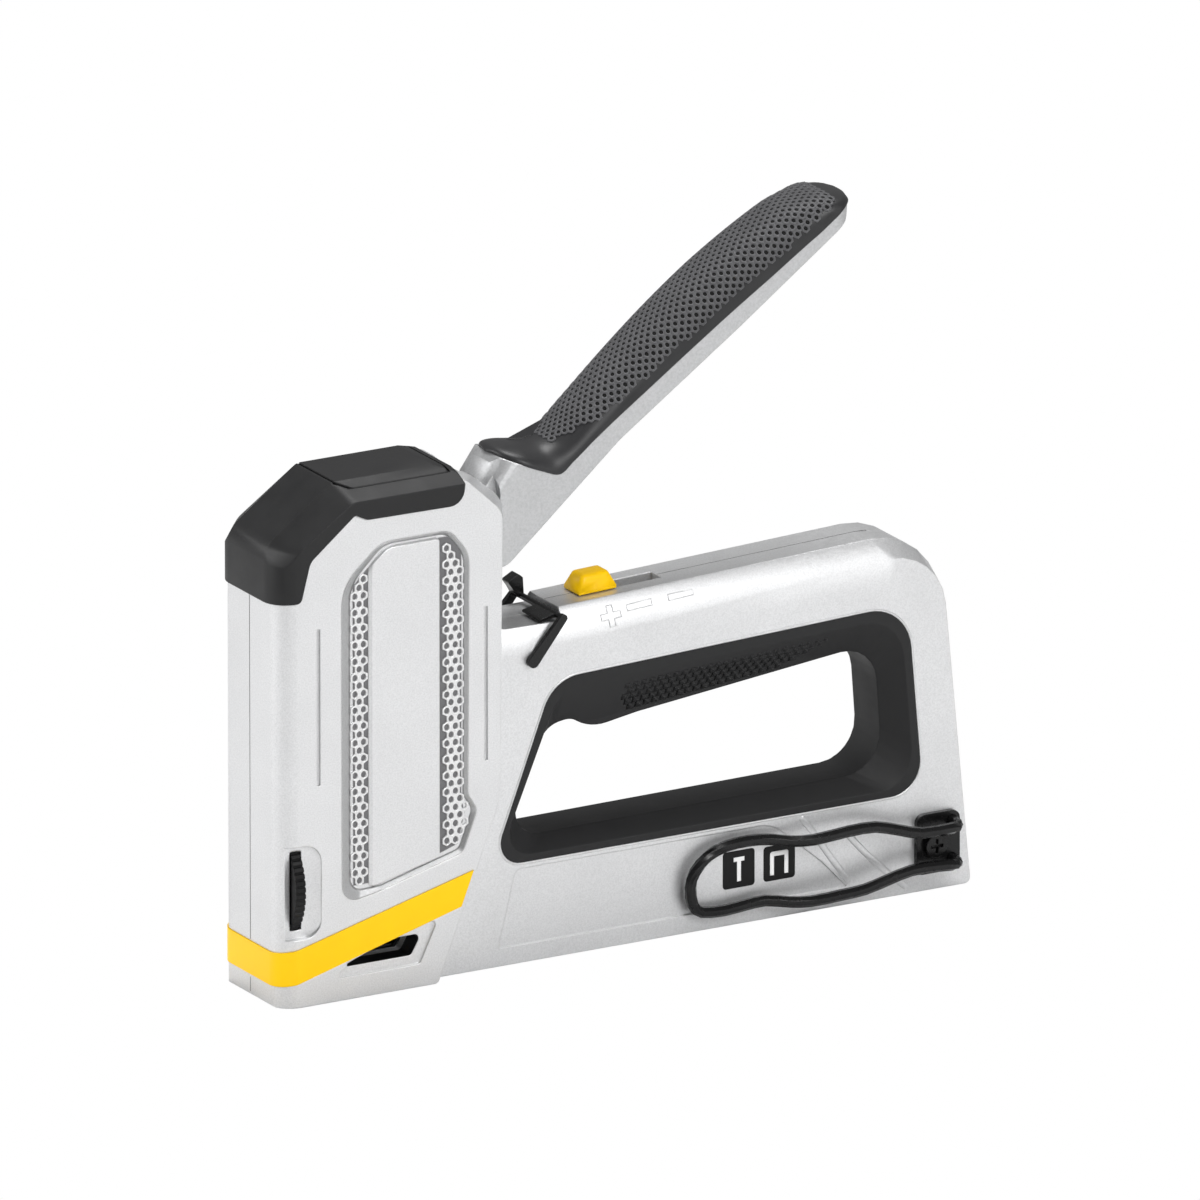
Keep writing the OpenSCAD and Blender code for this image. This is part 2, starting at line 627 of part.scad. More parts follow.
module lever_frame() color(steel) difference() {
    union() {
        difference() {
            intersection() {
                slab(-lever_w / 2, lever_w / 2) polygon(rounded(lever_root, 6));
                lever_plan(lever_w / 2, pivot_x + 11, lever_nose_r);
            }
            // hollow front, clear of the cap and of the head's bosses
            for (y = [-lever_w, neck_y]) at(pivot_x, pivot_z) cross_pin(shoulder_r, y, y + lever_w - neck_y);
            translate([pivot_x - 20, -12, pivot_z - 22]) cube([18, 24, 40]);
        }
        at(pivot_x, pivot_z) cross_pin(6.3, -neck_y, neck_y);
        slab(-6.5, 6.5) polygon(link([pivot_x, pivot_z], 5.6, arm_mid, 5));
        both_sides() slab(-6.5, -4.3) polygon(link(arm_mid, 4.4, roller_at, 2.8));
        slab(-1.2, 1.2) polygon(link(arm_mid, 3, [arm_mid.x + 1, lug_z + 1.4], 1.4));
    }
    at(pivot_x, pivot_z) cross_pin(pivot_pin_r + fit, -12, 12);
    at(roller_at.x, roller_at.y) cross_pin(1.5, -8, 8);
    slab(-6.4, 6.4) polygon(rounded(grip_pocket));
}

// Rubber grip: a saddle over the root and a crowned handle.
module grip_part(low, high, half) hull() {
    slab(-lever_grip_w / 2, lever_grip_w / 2) polygon(rounded(low, 4));
    slab(-half, half) polygon(rounded(high, 5));
}
module lever_grip() color(rubber) difference() {
    intersection() {
        union() {
            grip_part([[62, 128.4, 0], [80, 121, 0], [83, 123.4, 0], [83, 126.4, 0], [72, 126.6, 6], [64, 129.2, 1]],
                [[62, 128.4, 0], [80, 121.6, 0], [83, 123.6, 0], [83, 129.4, 0], [66, 130, 1.5]], 5.5);
            grip_part([[79, 121.6, 0], [93, 129, 0], [136, 160, 0], [lever_end - 2.6, 176.8, 0], [lever_end, 178.4, 0.8],
                 [lever_end - 2.8, 179.6, 1.5], [152, 176.4, 10], [133, 164, 0], [88, 131.6, 0], [79, 125, 0]],
                [[79, 123, 0], [84, 123.6, 0], [136, 160.8, 0], [lever_end - 1.4, 178.2, 0], [lever_end - 0.4, 179.2, 0.8],
                 [158, 180.4, 5], [149, 178.4, 20], [133.1, 170.6, 0], [110.8, 155, 0], [88.6, 136, 8], [79, 128.2, 0]], 5);
        }
        lever_plan(lever_grip_w / 2, pivot_x + 11.6, lever_nose_r + 0.8);
    }
    slab(-30, 30) polygon(rounded(lever_root, 6));
}

module lift_roller() color(steel) at(roller_at.x, roller_at.y) difference() {
    cross_pin(roller_r, -4.1, 4.1);
    cross_pin(1.5 + fit, -5, 5);
}
module roller_pin() color(dark_steel) at(roller_at.x, roller_at.y) cross_pin(1.5, -6.8, 6.8);

module power_slider() color(yellow) grip_line(slider_x) {
    intersection() {
        hull() {
            translate([-slider_len / 2, -slider_w / 2, run]) cube([slider_len, slider_w, 0.8]);
            for (x = [-1, 1], y = [-1, 1]) translate([x * (slider_len / 2 - 2.4), y * (slider_w / 2 - 2), 3.5])
                sphere(r = 1.4, $fn = 20);
        }
        translate([-20, -20, run]) cube([40, 40, 20]);
    }
    difference() {
        translate([-stem_len / 2, -stem_half, bar_top]) cube([stem_len, 2 * stem_half, 0.4 - bar_top]);
        translate([0, 0, bar_top - 1]) cylinder(r = slider_screw_r, h = 3);
    }
}
bar_top = -wall - run;
bar_t = 1.6;
leaf_t = 0.4;
slider_screw_r = 0.9;
module slider_bar() color(steel) grip_line(slider_x) difference() {
    translate([-stem_len / 2 - 2, -4.4, bar_top - bar_t]) cube([stem_len + 14, 8.8, bar_t]);
    translate([0, 0, -8]) cylinder(r = slider_screw_r, h = 10);
}
module slider_screw() color(dark_steel) grip_line(slider_x) {
    translate([0, 0, bar_top - bar_t - leaf_t - 1.4]) cylinder(r = 1.9, h = 1.4);
    translate([0, 0, bar_top - bar_t - leaf_t - eps]) cylinder(r = slider_screw_r, h = 3.6);
}
// Leaf under the bar; its tail bears on the grip's roof and holds the slider where it is set.
module detent_spring() color(steel) grip_line(slider_x) difference() {
    union() {
        translate([-3, -3, bar_top - bar_t - leaf_t]) cube([20, 6, leaf_t]);
        translate([17 - leaf_t, -3, bar_top - bar_t - leaf_t]) cube([leaf_t, 6, bar_t + leaf_t]);
        translate([17 - leaf_t, -3, bar_top - leaf_t]) cube([2.6, 6, leaf_t]);
    }
    translate([0, 0, -8]) cylinder(r = slider_screw_r, h = 10);
}

module lock_bail() color(black) {
    foot_r = bail_pin_r + 0.3;
    both_sides() {
        at(bail_pivot.x, bail_pivot.y) cross_pin(bail_pin_r, -bail_y - bail_leg, -frame_y + 3.4);
        slab(-bail_y - bail_leg, -bail_y) polygon(link(bail_pivot, foot_r, bail_bar, bail_r + 0.2));
    }
    at(bail_bar.x, bail_bar.y) cross_pin(bail_r, -bail_y - bail_leg / 2, bail_y + bail_leg / 2);
    // plate beside the bar, and the thumb tab that rises from it
    slab(-9, 0) polygon(link(bail_bar, 0.55, [bail_bar.x - 4.2, bail_bar.y - 0.8], 0.4));
    slab(8.4, 11.6) polygon(rounded([[bail_bar.x - 1.2, bail_bar.y - 0.2, 0], [bail_bar.x + 0.7, bail_bar.y - 0.2, 0.3],
        [bail_bar.x + 0.4, bail_bar.y + 4.6, 0.6], [bail_bar.x - 0.8, bail_bar.y + 5.6, 0.4],
        [bail_bar.x - 3.8, bail_bar.y + 4, 0.5], [bail_bar.x - 2.4, bail_bar.y + 2, 3]]));
}

module magazine_channel() color(steel) difference() {
    translate([plate_x, -channel_w / 2, 0.8]) cube([channel_len, channel_w, channel_top_z - 0.8]);
    translate([plate_x - 1, -channel_w / 2 + channel_t, 0]) cube([channel_len + 2, channel_w - 2 * channel_t,
        channel_top_z - channel_t]);
    slab(-channel_w, channel_w) polygon(rounded([[17, 8.4, 0.5], [36, 8.4, 0.5], [38.4, 11, 0.5], [21, 11, 1]]));
}

track_half = 4.6;
track_z = [1.6, 8.4];
track_x = plate_x - 1.6;
track_end = plate_x + channel_len - 1;
module staple_track() color(steel) difference() {
    translate([track_x, -track_half, track_z[0]]) cube([track_end - track_x, 2 * track_half, track_z[1] - track_z[0]]);
    translate([track_x + 1.2, -track_half + 1, track_z[0] - 1])
        cube([track_end - track_x - 2.4, 2 * track_half - 2, track_z[1] - track_z[0]]);
    translate([track_x + pusher_len - 4, -tab_half - run, 4]) cube([pusher_travel + 6, 2 * (tab_half + run), 8]);
}
tab_half = 0.9;
tab_len = 2;
pusher_len = 20;
module pusher() color(dark_steel) {
    top = channel_top_z - channel_t - run;
    half = channel_w / 2 - channel_t - run;
    difference() {
        translate([track_x + 0.4, -half, track_z[0] + 0.4]) cube([pusher_len, 2 * half, top - track_z[0] - 0.4]);
        translate([track_x - 1, -track_half - run, 0]) cube([30, 2 * track_half + 2 * run, track_z[1] + run]);
    }
    // tab through the track's slot, which the spring pushes
    translate([track_x + 0.4 + pusher_len - tab_len, -tab_half, 3.6]) cube([tab_len, 2 * tab_half, track_z[1] + 1 - 3.6]);
}
module pusher_spring() color(steel)
    translate([track_x + pusher_len + 1, 0, (track_z[0] + track_z[1]) / 2 - 0.3]) rotate([0, 90, 0])
        coil(1.9, 0.7, track_end - track_x - pusher_len - 3, 30, 8, 4);

// Rear end of the staple track: a block that fills the heel's mouth, with a finger groove below.
handle_end = body_len - 0.5;
module track_handle() color(black) difference() {
    translate([track_end, -latch_half, 1.4]) cube([handle_end - track_end, 2 * latch_half, channel_top_z - channel_t - run - 1.4]);
    translate([handle_end - 4, -10, 0]) cross_pin(2, 0, 20);
    translate([button_x, 0, button_z]) rotate([0, 90, 0]) cylinder(r = button_r + fit, h = 30);
    translate([button_x - 5.4, 0, button_z]) rotate([0, 90, 0]) cylinder(r = button_r - 0.6, h = 6);
}
button_r = 2.6;
button_x = handle_end - 5;
button_z = 7.6;
module release_button() color(yellow)
    translate([button_x + 1.8, 0, button_z]) rotate([0, 90, 0]) cylinder(r = button_r, h = 4);
module button_spring() color(steel)
    translate([button_x - 5, 0, button_z]) rotate([0, 90, 0]) coil(1.4, 0.5, 6.4, 6, 8, 4);

// ---- belt hook ------------------------------------------------------------------------------

wire_y = frame_y + hook_wire_d / 2 + 0.7;
hook_high_z = 17.3;
hook_low_z = 7.6;
hook_leg = 6.1;
// Points [distance ahead of the heel, y, z], from the upper end to the lower one.
hook_route = [for (p = [
    [hook_leg, -frame_y - 0.1, hook_high_z], [hook_leg, -frame_y - 3, hook_high_z],
    [hook_leg + 0.6, -hook_y + 1.2, hook_high_z], [hook_leg + 2.6, -hook_y, hook_high_z - 0.2],
    [17.4, -hook_y, 17.2], [24, -hook_y, 19.1], [30.5, -hook_y, 20.9], [38, -hook_y, 21], [47.5, -hook_y, 20.4],
    [53, 1.8 - hook_y, 20.4], [58.3, -wire_y - 0.4, 21.2], [64, -wire_y, 21.6], [70.2, -wire_y, 21.2], [75, -wire_y, 19.4],
    [78.6, -wire_y, 16], [79.8, -wire_y, 12.2], [79.2, -wire_y, 7.8], [76.8, -wire_y, 5.5], [70.7, -wire_y, 4.9],
    [64.9, -wire_y, 5.3], [59.2, -wire_y - 0.4, 5.7], [53.5, 1.6 - hook_y, 5], [48.4, -hook_y, 4.8], [40, -hook_y, 5],
    [33.2, -hook_y, 5.4], [27.2, -hook_y, 6.7], [20.3, -hook_y, 8.1], [13, -hook_y, 8], [hook_leg + 2.6, -hook_y, hook_low_z + 0.1],
    [hook_leg + 0.6, -hook_y + 1.2, hook_low_z], [hook_leg, -frame_y - 3, hook_low_z],
    [hook_leg, -frame_y - 0.1, hook_low_z]]) [body_len - p.x, p.y, p.z]];

// Points of a smooth curve through the route.
function curve_at(a, b, c, d, t) = 0.5 * (2 * b + (c - a) * t + (2 * a - 5 * b + 4 * c - d) * t * t
    + (3 * b - a - 3 * c + d) * t * t * t);
function smooth_route(r, n) = let (k = len(r))
    [for (i = [0 : k - 2], j = [0 : n - 1])
        curve_at(r[max(i - 1, 0)], r[i], r[i + 1], r[min(i + 2, k - 1)], j / n), r[k - 1]];
// A round wire swept along a path that never runs along the diagonal [1, 1, 1].
module wire(path, r, sides = 8) {
    k = len(path);
    rings = [for (i = [0 : k - 1])
        let (t = unit(path[min(i + 1, k - 1)] - path[max(i - 1, 0)]),
             u = unit(cross([1, 1, 1], t)), v = cross(t, u))
        [for (j = [0 : sides - 1]) let (b = 360 * (j + 0.5) / sides) path[i] + r * (cos(b) * u + sin(b) * v)]];
    walls = [for (i = [0 : k - 2], j = [0 : sides - 1]) let (m = (j + 1) % sides)
        each halves([i * sides + j, i * sides + m, (i + 1) * sides + m, (i + 1) * sides + j])];
    polyhedron([for (ring = rings) each ring],
        [each walls, [for (j = [sides - 1 : -1 : 0]) j], [for (j = [0 : sides - 1]) (k - 1) * sides + j]]);
}
module hook_wire() color(black) wire(smooth_route(hook_route, 2), hook_wire_d / 2);

bracket_x = [body_len - 15.9, body_len - hook_leg + hook_wire_d / 2 + 0.8];
bracket_t = 1.4;
module hook_bracket() color(black) difference() {
    slab(-frame_y - bracket_t, -frame_y) polygon(rounded([[bracket_x[0], hook_low_z - 3, 1.5],
        [bracket_x[1], hook_low_z - 3, 1.5], [bracket_x[1], hook_high_z + 2.6, 2.2], [bracket_x[0], hook_high_z + 2.6, 2.2]]));
    for (z = [hook_low_z, hook_high_z])
        at(body_len - hook_leg, z) cross_pin(hook_wire_d / 2 + 0.02, -frame_y - bracket_t - 1, -frame_y + 1);
    at(hook_screw_at.x, hook_screw_at.y) cross_pin(screw_r + fit, -frame_y - bracket_t - 1, -frame_y + 1);
}
hook_head_r = 2.9;
module hook_screw() color(dark_steel) at(hook_screw_at.x, hook_screw_at.y) difference() {
    union() {
        cross_pin(screw_r, -frame_y - bracket_t - eps, -channel_w / 2 - 0.4);
        cross_pin(hook_head_r, -frame_y - bracket_t - 1.4, -frame_y - bracket_t);
    }
    for (a = [0, 90]) rotate([0, a, 0]) translate([-0.4, -frame_y - bracket_t - 2.4, -1.8]) cube([0.8, 2, 3.6]);
}

near_housing();
far_housing();
bump_cap();
cap_insert();
nose_band();
window_liner();
housing_screws();
front_plate();
back_plate();
dial_stud();
guide_dial();
spring_seat();
bumper();
main_spring();
striker_block();
driver_blade();
striker_rivets();
lever_pin();
pin_clips();
return_spring();
lever_frame();
lever_grip();
lift_roller();
roller_pin();
power_slider();
slider_bar();
slider_screw();
detent_spring();
lock_bail();
magazine_channel();
staple_track();
pusher();
pusher_spring();
track_handle();
release_button();
button_spring();
spring_anchor();
hook_wire();
hook_bracket();
hook_screw();
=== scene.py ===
import math

import bmesh
import bpy
from bpy.props import FloatProperty, FloatVectorProperty, PointerProperty
from mathutils import Matrix, Vector


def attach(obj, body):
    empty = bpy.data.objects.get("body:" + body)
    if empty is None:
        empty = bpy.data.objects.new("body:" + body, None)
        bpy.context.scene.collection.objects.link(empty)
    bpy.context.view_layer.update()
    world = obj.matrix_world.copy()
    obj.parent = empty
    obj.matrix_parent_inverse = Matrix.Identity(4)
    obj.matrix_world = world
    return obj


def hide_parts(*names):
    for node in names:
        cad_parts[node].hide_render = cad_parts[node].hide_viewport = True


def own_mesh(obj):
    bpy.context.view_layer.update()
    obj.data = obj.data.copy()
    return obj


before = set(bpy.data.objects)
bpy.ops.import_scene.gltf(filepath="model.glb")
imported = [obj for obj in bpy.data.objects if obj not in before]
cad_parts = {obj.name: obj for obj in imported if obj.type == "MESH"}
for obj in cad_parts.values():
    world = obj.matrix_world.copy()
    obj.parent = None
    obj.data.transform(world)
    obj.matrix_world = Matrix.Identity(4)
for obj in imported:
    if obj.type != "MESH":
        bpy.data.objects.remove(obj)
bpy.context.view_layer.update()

bl_info = {
    "name": "Staple gun",
    "version": (1, 0, 0),
    "blender": (4, 5, 0),
    "location": "View3D > Sidebar > Staple gun",
    "description": "Finishes and fine pieces of a hand staple gun, round its packed frame",
    "category": "Add Mesh",
}

MM = 0.001


# ---- the sizes and colours that a user may change ----------------------------------------------

def colour(name, text, value):
    return FloatVectorProperty(name=name, description=text, subtype="COLOR", size=3,
                               min=0.0, max=1.0, default=value)


def length(name, text, value, low, high):
    """A length whose default and limits are given in mm."""
    return FloatProperty(name=name, description=text, default=value * MM, min=low * MM,
                         max=high * MM, subtype="DISTANCE", unit="LENGTH", precision=5)


class GunColours(bpy.types.PropertyGroup):
    aluminium: colour("Aluminium", "Satin cast aluminium of the two housing halves",
                      (0.70, 0.703, 0.71))
    lever: colour("Lever metal", "Sand-cast metal of the lever", (0.52, 0.524, 0.53))
    rubber: colour("Rubber", "Moulded rubber of the grip and the liner", (0.020, 0.020, 0.021))
    cap: colour("Bump cap", "Hard rubber of the bump cap", (0.010, 0.010, 0.0105))
    yellow: colour("Yellow", "Yellow plastic of the nose band and the slider",
                   (0.96, 0.57, 0.0))
    black: colour("Black", "Black plastic and black-coated steel", (0.004, 0.004, 0.0042))
    steel: colour("Steel", "Bright steel of springs and plates", (0.56, 0.57, 0.59))
    mark: colour("Mark", "White of the staple and nail signs", (0.86, 0.86, 0.86))


class GunSizes(bpy.types.PropertyGroup):
    cell: length("Grip cell", "Pitch of the cells on the lever's grip", 2.1, 1.6, 3.0)
    cell_rise: length("Cell rise", "Height of the web round the grip's cells", 0.3, 0.1, 0.6)
    mesh: length("Mesh pitch", "Pitch of the pits in the head's mesh strips", 2.38, 1.8, 3.2)
    mesh_rise: length("Mesh rise", "Height of the head's mesh strips", 0.45, 0.2, 0.8)
    facet: length("Liner facet", "Pitch of the small pyramids on the liner", 2.3, 1.6, 3.0)
    seam: length("Seam", "Width of the line where the castings meet", 0.22, 0.1, 0.4)


# ---- shader maths ------------------------------------------------------------------------------

WHITE = (1, 1, 1, 1)
BEVEL_SAMPLES = 6
WORN, UNWORN = 0.82, 0.99      # how far the rounded normal leaves the true one, as a cosine


class Number:
    """A number that a node gives out, with Python's own arithmetic."""

    def __init__(self, nodes, socket):
        self.nodes = nodes
        self.socket = socket

    def maths(self, operation, *values):
        return self.nodes.node("ShaderNodeMath", {"operation": operation},
                               dict(enumerate(values)))

    def __add__(self, other):
        return self.maths("ADD", self, other)

    def __radd__(self, other):
        return self.maths("ADD", other, self)

    def __sub__(self, other):
        return self.maths("SUBTRACT", self, other)

    def __rsub__(self, other):
        return self.maths("SUBTRACT", other, self)

    def __mul__(self, other):
        return self.maths("MULTIPLY", self, other)

    def __rmul__(self, other):
        return self.maths("MULTIPLY", other, self)


class Nodes:
    """A tree of nodes, and the one way in which nodes are added to it."""

    def __init__(self, tree):
        self.tree = tree

    def node(self, kind, settings=None, sockets=None, output=0):
        """Adds a node, with its settings and the values or links of its sockets."""
        made = self.tree.nodes.new(kind)
        for name, value in (settings or {}).items():
            setattr(made, name, value)
        self.fill(made, sockets or {})
        return Number(self, made.outputs[output])

    def fill(self, made, sockets):
        """Links a socket to a number's node, or gives it a plain value."""
        for name, value in sockets.items():
            if isinstance(value, Number):
                self.tree.links.new(value.socket, made.inputs[name])
            else:
                made.inputs[name].default_value = value


class Finish(Nodes):
    """One material, and the nodes that make it."""

    def __init__(self, name):
        self.material = bpy.data.materials.new(name)
        self.material.use_nodes = True
        super().__init__(self.material.node_tree)
        self.shader = self.tree.nodes["Principled BSDF"]
        self.place = self.node("ShaderNodeTexCoord", output="Object")

    def grain(self, scale, detail, rough=0.55, place=None):
        """Noise between 0 and 1; scale is in waves to the metre."""
        return self.node("ShaderNodeTexNoise", {"noise_dimensions": "3D"},
                         {"Vector": place or self.place, "Scale": scale, "Detail": detail,
                          "Roughness": rough}, output="Fac")

    def band(self, value, low=0.3, high=0.7):
        """value, spread from 0 at low to 1 at high."""
        return self.node("ShaderNodeMapRange", {"clamp": True},
                         {"Value": value, "From Min": low, "From Max": high})

    def blend(self, share, first, second):
        """A colour between two, by share."""
        return self.node("ShaderNodeMix", {"data_type": "RGBA"},
                         {"Factor": share, 6: shade(first), 7: shade(second)}, output=2)

    def rounded(self, radius):
        """The normal as it would be with edges rounded by radius."""
        return self.node("ShaderNodeBevel", {"samples": BEVEL_SAMPLES}, {"Radius": radius})

    def wear(self, radius):
        """1 where an edge is, 0 on the flat."""
        soft = self.rounded(radius)
        true = self.node("ShaderNodeNewGeometry", output="Normal")
        even = self.node("ShaderNodeVectorMath", {"operation": "DOT_PRODUCT"},
                         {0: soft, 1: true}, output="Value")
        return self.band(even, UNWORN, WORN)

    def relief(self, height, distance, strength, radius):
        """The shading normal, with height raised by distance and edges rounded by radius."""
        return self.node("ShaderNodeBump", None,
                         {"Height": height, "Distance": distance, "Strength": strength,
                          "Normal": self.rounded(radius)})

    def surface(self, **values):
        """Sets the shader's sockets, whose names have _ for each space, and gives the material."""
        self.fill(self.shader, {name.replace("_", " "): value for name, value in values.items()})
        return self.material


def shade(value):
    """A colour as a socket takes it: a node's own, or three parts and an alpha of 1."""
    return value if isinstance(value, Number) else (*value, 1.0)


def darker(tone, share):
    return tuple(part * share for part in tone)


def brighter(tone, share, lift=0.0):
    return tuple(min(1.0, part * share + lift) for part in tone)


# ---- the finishes ------------------------------------------------------------------------------

WORN_METAL = (0.9, 0.9, 0.9)
# near black of the grip's pit bottoms: painted shade in the sunken ovals
PIT_BLACK = (0.006, 0.006, 0.006)
SEAM_GREY = (0.09, 0.09, 0.092)
# grey of the plates under the head's mesh strips: painted shade on the recess floor
RECESS_GREY = (0.16, 0.16, 0.165)
# paler silver of the head's raised mesh: painted highlight on the raised web
WEB_SILVER = (0.80, 0.80, 0.805)


def cast_aluminium(name, tone, coarse=1.0, metal=0.74, gloss=0.40):
    """Satin casting: a fine sparkle of grain, cloudy tone, brighter worn edges."""
    f = Finish(name)
    cloud = f.grain(60, 3)
    grain = f.grain(2600 / coarse, 2, 0.7)
    speck = f.grain(1100 / coarse, 2, 0.6)
    base = f.blend(f.band(cloud), darker(tone, 0.955), tone)
    base = f.blend(f.band(grain, 0.35, 0.72) * 0.6, base, darker(tone, 0.72))
    base = f.blend(f.wear(0.4 * MM) * 0.5, base, WORN_METAL)
    height = grain * 0.6 + speck * 0.7
    return f.surface(Base_Color=base, Metallic=metal,
                     Roughness=gloss - 0.05 + f.band(speck) * 0.11,
                     Normal=f.relief(height, 0.04 * MM * coarse, 0.55, 0.45 * MM))


def moulded_rubber(name, tone, gloss=0.60, grain=0.03):
    """Rubber: even and soft, faintly dusty, with rounded edges; grain is its depth in mm."""
    f = Finish(name)
    dust = f.grain(140, 4)
    fine = f.grain(2400, 2)
    base = f.blend(f.band(dust, 0.35, 0.75), tone, brighter(tone, 1.22))
    base = f.blend(f.wear(0.5 * MM) * 0.35, base, brighter(tone, 2.6))
    return f.surface(Base_Color=base, Roughness=gloss - 0.05 + f.band(dust) * 0.1,
                     Specular_IOR_Level=0.3,
                     Normal=f.relief(fine, grain * MM, 0.6, 0.5 * MM))


def coloured_plastic(name, tone, gloss=0.34, shine=0.5):
    """Moulded plastic: a fine spark texture and slightly paler edges."""
    f = Finish(name)
    cloud = f.grain(90, 3)
    fine = f.grain(2200, 2)
    base = f.blend(f.band(cloud, 0.3, 0.75), darker(tone, 0.95), tone)
    base = f.blend(f.wear(0.4 * MM) * 0.25, base, brighter(tone, 1.15, 0.01))
    return f.surface(Base_Color=base, Roughness=gloss - 0.04 + f.band(cloud) * 0.08,
                     Specular_IOR_Level=shine,
                     Normal=f.relief(fine, 0.02 * MM, 0.5, 0.4 * MM))


def bright_steel(name, tone, gloss=0.32):
    """Drawn or ground steel with fine scratches along X."""
    f = Finish(name)
    stretched = f.node("ShaderNodeMapping", None, {"Vector": f.place, "Scale": (0.08, 1.0, 1.0)})
    lines = f.grain(1400.0, 2.0, 0.5, stretched)
    base = f.blend(f.band(f.grain(120, 3)), darker(tone, 0.85), tone)
    return f.surface(Base_Color=base, Metallic=0.95,
                     Roughness=gloss - 0.04 + f.band(lines) * 0.12,
                     Normal=f.relief(lines, 0.02 * MM, 0.5, 0.2 * MM))


def coated_steel(name, tone):
    """Black gloss coat with a little orange peel."""
    f = Finish(name)
    peel = f.grain(700, 2)
    base = f.blend(f.band(f.grain(150, 3), 0.35, 0.7), tone, brighter(tone, 1.6))
    return f.surface(Base_Color=base, Roughness=0.22 + f.band(peel) * 0.07,
                     Specular_IOR_Level=0.3, Normal=f.relief(peel, 0.03 * MM, 0.5, 0.3 * MM))


FINISHES = {}


def make_finishes(colours):
    aluminium = tuple(colours.aluminium)
    rubber = tuple(colours.rubber)
    black = tuple(colours.black)
    steel = tuple(colours.steel)
    FINISHES.update(
        aluminium=cast_aluminium("cast_aluminium", aluminium),
        lever=cast_aluminium("lever_metal", tuple(colours.lever), coarse=1.5, metal=0.8,
                             gloss=0.44),
        rubber=moulded_rubber("black_rubber", darker(rubber, 0.55)),
        grip=moulded_rubber("grip_rubber", rubber, gloss=0.40),
        cap=moulded_rubber("cap_rubber", tuple(colours.cap), gloss=0.5, grain=0.02),
        yellow=coloured_plastic("yellow_plastic", tuple(colours.yellow), shine=0.2),
        black=coloured_plastic("black_plastic", black, gloss=0.36, shine=0.2),
        # pit bottoms on the grip, near black as painted shade
        pit=moulded_rubber("pit_rubber", PIT_BLACK, gloss=0.8),
        wire=coated_steel("black_wire", black),
        steel=bright_steel("spring_steel", steel),
        # dark steel; on slider_bar and detent_spring it is painted shade in the slider's slot
        tool=bright_steel("tool_steel", darker(steel, 0.22), gloss=0.45),
        seam=coloured_plastic("seam_shadow", SEAM_GREY, gloss=0.6),
        # the head panel's sloping walls, aluminium darkened as painted shade
        border=cast_aluminium("border_aluminium", darker(aluminium, 0.55)),
        # plates under the mesh strips, grey as painted shade
        recess=cast_aluminium("recess_aluminium", RECESS_GREY, metal=0.4, gloss=0.6),
        # grip's cell web, paler than the grip as painted highlight
        web_rubber=moulded_rubber("web_rubber", brighter(rubber, 3.2), gloss=0.42),
        # head's mesh strips, paler than the casting as painted highlight
        web=cast_aluminium("mesh_aluminium", WEB_SILVER, metal=0.55, gloss=0.36),
        mark=coloured_plastic("white_mark", tuple(colours.mark), gloss=0.5),
    )


NODE_FINISH = {
    "aluminium": ["near_housing", "far_housing"],
    "lever": ["lever_frame"],
    "rubber": ["window_liner", "bumper"],
    "grip": ["lever_grip"],
    "cap": ["bump_cap", "cap_insert"],
    "yellow": ["nose_band", "power_slider", "release_button"],
    "black": ["guide_dial", "track_handle"],
    "wire": ["lock_bail", "hook_wire", "hook_bracket", "hook_screw"],
    "steel": ["front_plate", "back_plate", "spring_seat", "main_spring", "lever_pin",
              "return_spring", "lift_roller", "staple_track", "pusher_spring",
              "button_spring", "spring_anchor"],
    # slider_bar and detent_spring are dark here as painted shade in the slider's slot
    "tool": ["housing_screws", "dial_stud", "striker_block", "driver_blade", "striker_rivets",
             "pin_clips", "roller_pin", "slider_screw", "pusher", "magazine_channel",
             "slider_bar", "detent_spring"],
}


# ---- making pieces -----------------------------------------------------------------------------

def piece(name, mesh, finish, smooth, body="body", replaces=()):
    """Turns a bmesh in metres into a finished object that rides on body.

    Edges that bend by less than smooth, in degrees, are shaded smooth.
    """
    bmesh.ops.recalc_face_normals(mesh, faces=mesh.faces)
    data = bpy.data.meshes.new(name)
    limit = math.radians(smooth)
    for face in mesh.faces:
        face.smooth = True
    for edge in mesh.edges:
        edge.smooth = len(edge.link_faces) == 2 and edge.calc_face_angle(0.0) < limit
    mesh.to_mesh(data)
    mesh.free()
    made = bpy.data.objects.new(name, data)
    bpy.context.scene.collection.objects.link(made)
    data.materials.append(FINISHES[finish])
    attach(made, body)
    if replaces:
        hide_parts(*replaces)


def metal_piece(name, mesh, finish="aluminium", smooth=25):
    """A fine piece of the castings themselves."""
    piece(name, mesh, finish, smooth)


def outline(points, steps=8):
    """A closed outline from [x, z, radius] corners in mm, its corners rounded."""
    found = []
    count = len(points)
    for i, (x, z, radius) in enumerate(points):
        here = Vector((x, z))
        if radius <= 0:
            found.append(here)
            continue
        back = (Vector(points[i - 1][:2]) - here).normalized()
        ahead = (Vector(points[(i + 1) % count][:2]) - here).normalized()
        half = math.acos(max(-1.0, min(1.0, back.dot(ahead)))) / 2
        centre = here + (back + ahead).normalized() * radius / math.sin(half)
        reach = radius / math.tan(half)
        first = here + back * reach - centre
        last = here + ahead * reach - centre
        sweep = first.angle_signed(last)
        for k in range(steps + 1):
            turned = first.copy()
            turned.rotate(Matrix.Rotation(-sweep * k / steps, 2))
            found.append(centre + turned)
    return found


def inside(x, z, loop):
    """Whether x, z lies inside the closed outline loop."""
    hit = False
    for a, b in zip(loop, loop[1:] + loop[:1]):
        if (a.y > z) != (b.y > z) and x < (b.x - a.x) * (z - a.y) / (b.y - a.y) + a.x:
            hit = not hit
    return hit


